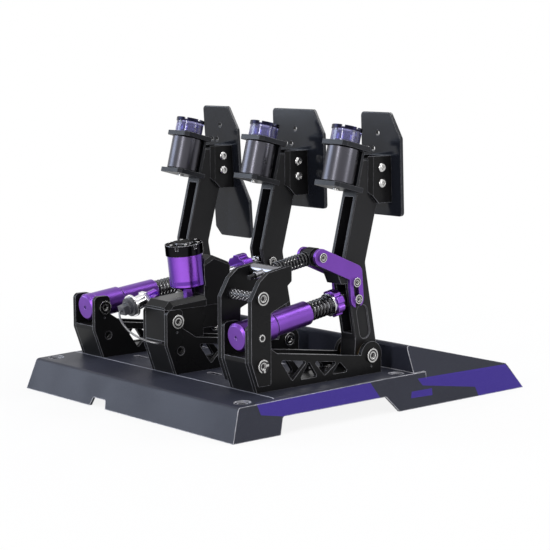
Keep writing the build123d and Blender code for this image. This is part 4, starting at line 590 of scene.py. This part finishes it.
def make_knurl_tree(material):
    """Four-sided studs in staggered rows round a bar that runs along X."""
    stud_sides, stud_top_share = 4, 0.3
    bench, inlet, outlet = wound_tree("knurled_bar", (
        ("Bar Radius", "NodeSocketFloat"), ("Length", "NodeSocketFloat"),
        ("Stud Size", "NodeSocketFloat"), ("Stud Height", "NodeSocketFloat"),
        ("Rows", "NodeSocketInt"), ("Around", "NodeSocketInt"), ("Centre", "NodeSocketVector")))
    grid = bench.put("GeometryNodeMeshGrid")
    bench.wire(inlet.outputs["Length"], grid.inputs["Size X"])
    grid.inputs["Size Y"].default_value = 2 * pi
    bench.wire(inlet.outputs["Rows"], grid.inputs["Vertices X"])
    bench.wire(inlet.outputs["Around"], grid.inputs["Vertices Y"])
    place = bench.put("ShaderNodeSeparateXYZ")
    bench.wire(bench.put("GeometryNodeInputPosition").outputs[0], place.inputs[0])
    pitch = bench.maths("DIVIDE", inlet.outputs["Length"], inlet.outputs["Rows"])
    row = bench.maths("ROUND", bench.maths("DIVIDE", place.outputs[0], pitch))
    step = bench.maths("DIVIDE", pi, inlet.outputs["Around"])
    stagger = bench.maths("MULTIPLY", bench.maths("MODULO", bench.maths("ABSOLUTE", row), 2.0), step)
    angle = bench.maths("ADD", place.outputs[1], stagger)
    ring = bench.put("ShaderNodeCombineXYZ")
    bench.wire(bench.maths("COSINE", angle), ring.inputs[1])
    bench.wire(bench.maths("SINE", angle), ring.inputs[2])
    radius = bench.vector("SCALE", ring.outputs[0])
    bench.wire(inlet.outputs["Bar Radius"], radius.node.inputs["Scale"])
    across = bench.put("ShaderNodeCombineXYZ")
    bench.wire(place.outputs[0], across.inputs[0])
    spot = bench.vector("ADD", bench.vector("ADD", radius, across.outputs[0]), inlet.outputs["Centre"])
    stud = bench.put("GeometryNodeMeshCone")
    stud.inputs["Vertices"].default_value = stud_sides
    bench.wire(inlet.outputs["Stud Size"], stud.inputs["Radius Bottom"])
    bench.wire(bench.maths("MULTIPLY", inlet.outputs["Stud Size"], stud_top_share),
               stud.inputs["Radius Top"])
    bench.wire(inlet.outputs["Stud Height"], stud.inputs["Depth"])
    moved = bench.put("GeometryNodeSetPosition")
    bench.wire(spot, moved.inputs["Position"])
    upright = bench.put("FunctionNodeAlignRotationToVector", axis="Z")
    bench.wire(ring.outputs[0], upright.inputs["Vector"])
    keep_turn = bench.put("GeometryNodeCaptureAttribute", domain="POINT")
    keep_turn.capture_items.new("ROTATION", "Turn")
    bench.wire(grid.outputs[0], keep_turn.inputs["Geometry"])
    bench.wire(upright.outputs[0], keep_turn.inputs["Turn"])
    bench.wire(keep_turn.outputs["Geometry"], moved.inputs["Geometry"])
    placed = bench.put("GeometryNodeInstanceOnPoints")
    bench.wire(moved.outputs[0], placed.inputs["Points"])
    bench.wire(stud.outputs[0], placed.inputs["Instance"])
    bench.wire(keep_turn.outputs["Turn"], placed.inputs["Rotation"])
    close_tree(bench, placed.outputs[0], material, outlet, smooth=False)
    return bench.tree


spring_wire = finish("spring_wire", (0.020, 0.020, 0.022), 0.22, metallic=0.5, specular=0.6,
                     edge_amount=0.0, coat=0.3)
spring_tree = make_spring_tree(spring_wire)


def make_spring(name, node, body, joint, origin, line, start, end, turns, coil_radius, wire_radius,
                fixed):
    """A spring between two places along its line, which replaces the imported spring and rides on a body.
    """
    tilt = Vector((0, 0, 1)).rotation_difference(line).to_euler()
    piece = grow(name, spring_tree, {
        "Turns": turns, "Coil Radius": coil_radius * mm, "Wire Radius": wire_radius * mm,
        "Length": (end - start - 2 * wire_radius) * mm,
        "Start": tuple(origin + line * (start + wire_radius) * mm), "Tilt": tuple(tilt)}, spring_wire)
    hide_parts(node)
    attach(piece, body)
    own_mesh(piece)


# The springs' sizes, in millimetres but for the turns. Start, end and fixed run along the line.
damper_coil = {"start": 76.1, "end": 103.9, "fixed": 76.1, "turns": 6.0, "coil_radius": 8.2,
               "wire_radius": 1.15}
return_coil = {"start": 10.1, "end": 50.2, "fixed": 50.2, "turns": 10.0, "coil_radius": 5.9,
               "wire_radius": 0.9}
for pedal, line in damper_lines.items():
    make_spring(pedal + "_coil_spring", pedal + "_damper_spring", pedal + "_damper",
                pedal + "_rod_slide", damper_rear + Vector((module_x[pedal], 0, 0)), line,
                **damper_coil)
make_spring("clutch_return_spring", "clutch_toggle_spring", "clutch_trunnion", "clutch_toggle_slide",
            toggle_eye + Vector((module_x["clutch"], 0, 0)), toggle_line, **return_coil)

knurl_steel = finish("knurl_steel", (0.17, 0.17, 0.18), 0.30, metallic=0.95,
                     edge_colour=(0.6, 0.6, 0.62), edge_amount=0.5, edge_width=0.15)
knurl = grow("clutch_bar_knurl", make_knurl_tree(knurl_steel), {
    "Bar Radius": 3.85 * mm, "Length": 27.0 * mm, "Stud Size": 1.05 * mm, "Stud Height": 0.7 * mm,
    "Rows": 12, "Around": 10, "Centre": tuple(cross_bar_centre)}, knurl_steel)
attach(knurl, "base")


# Floor, lamps and surroundings
def make_floor():
    """A pale floor that keeps the object's shadow and turns white away from it."""
    reach = 6.0
    grain_scale, dim_tone, pale_tone = 40.0, (0.86, 0.86, 0.87), (0.88, 0.88, 0.885)
    shadow_reach, white_reach, near_share, far_share = 0.25, 0.75, 0.88, 1.0
    mesh = bpy.data.meshes.new("studio_floor")
    mesh.from_pydata([(-reach, -reach, 0), (reach, -reach, 0), (reach, reach, 0), (-reach, reach, 0)],
                     [], [(0, 1, 2, 3)])
    floor = bpy.data.objects.new("studio_floor", mesh)
    bpy.context.scene.collection.objects.link(floor)
    material = bpy.data.materials.new("studio_floor")
    material.use_nodes = True
    bench = Bench(material.node_tree)
    skin = material.node_tree.nodes["Principled BSDF"]
    place = bench.put("ShaderNodeTexCoord").outputs["Object"]
    grain = bench.noise(place, grain_scale)
    bench.wire(bench.blend(grain, opaque(dim_tone), opaque(pale_tone)), skin.inputs["Base Color"])
    skin.inputs["Roughness"].default_value = 0.9
    skin.inputs["Specular IOR Level"].default_value = 0.1
    glow = bench.put("ShaderNodeEmission")
    seen = bench.seen_rays()
    far = bench.span(bench.vector("LENGTH", place), shadow_reach, white_reach, near_share, far_share)
    mix = bench.put("ShaderNodeMixShader")
    bench.wire(bench.maths("MULTIPLY", seen, far), mix.inputs[0])
    bench.wire(skin.outputs[0], mix.inputs[1])
    bench.wire(glow.outputs[0], mix.inputs[2])
    bench.wire(mix.outputs[0], material.node_tree.nodes["Material Output"].inputs["Surface"])
    mesh.materials.append(material)


def make_lamp(name, place, aim, width, height, level, colour):
    """A soft box. Its level sets how bright its face is."""
    data = bpy.data.lights.new(name, "AREA")
    data.color = colour
    data.shape = "RECTANGLE"
    data.size = width
    data.size_y = height
    data.energy = level * pi * width * height
    lamp = bpy.data.objects.new(name, data)
    bpy.context.scene.collection.objects.link(lamp)
    direction = Vector(aim) - Vector(place)
    turn = direction.to_track_quat("-Z", "Y").to_matrix().to_4x4()
    lamp.matrix_world = Matrix.Translation(place) @ turn
    lamp.visible_camera = False


def make_surroundings():
    """White where it is seen, and dimmer where it only lights the object."""
    lighting_strength, seen_strength = 0.30, 1.0
    world = bpy.data.worlds.new("studio")
    bpy.context.scene.world = world
    world.use_nodes = True
    bench = Bench(world.node_tree)
    seen = bench.seen_rays()
    backing = world.node_tree.nodes["Background"]
    backing.inputs["Color"].default_value = (1, 1, 1, 1)
    bench.wire(bench.span(seen, 0, 1, lighting_strength, seen_strength, smooth=False),
               backing.inputs["Strength"])


make_floor()
make_surroundings()

# Soft boxes, in metres: name, place, aim, width, height, level and colour
middle, upper = (0.0, 0.0, 0.12), (0.0, 0.0, 0.60)
white, cool = (1, 1, 1), (0.74, 0.84, 1.0)
for soft_box in (
        ("rear_soft_box", (1.60, 1.40, 0.72), upper, 1.1, 1.20, 5.6, cool),
        ("strip_soft_box", (-0.68, 2.20, 0.75), middle, 0.30, 1.5, 14.0, white),
        ("side_soft_box", (-2.2, -0.55, 0.80), middle, 0.7, 1.3, 4.5, white),
        ("overhead_soft_box", (-0.1, 0.2, 2.2), middle, 1.5, 1.1, 3.0, white),
        ("front_soft_box", (1.2, -2.0, 1.0), middle, 0.9, 1.1, 3.0, white),
        ("ridge_soft_box", (-0.45, -1.30, 1.70), middle, 1.2, 0.6, 6.0, white)):
    make_lamp(*soft_box)


# Camera at the photographed view
def make_camera():
    """The camera solved from the photograph: its place, its turn and its focal length."""
    place = (-1.2830, 1.1054, 0.3438)
    focal_pixels, frame_pixels = 1691.18, 550.0
    yaw, pitch, roll = radians(-40.767), radians(7.668), radians(-0.157)
    forward = Vector((cos(pitch) * cos(yaw), cos(pitch) * sin(yaw), -sin(pitch)))
    right = Vector((sin(yaw), -cos(yaw), 0))
    up = right.cross(forward)
    across = right * cos(roll) + up * sin(roll)
    upward = up * cos(roll) - right * sin(roll)
    data = bpy.data.cameras.new("view")
    data.sensor_width = 36.0
    data.lens = focal_pixels / frame_pixels * data.sensor_width
    data.clip_start, data.clip_end = 0.05, 50.0
    camera = bpy.data.objects.new("view", data)
    bpy.context.scene.collection.objects.link(camera)
    turn = Matrix((across, upward, -forward)).transposed().to_4x4()
    camera.matrix_world = Matrix.Translation(place) @ turn
    bpy.context.scene.camera = camera


make_camera()
bpy.context.scene.view_settings.view_transform = "Standard"
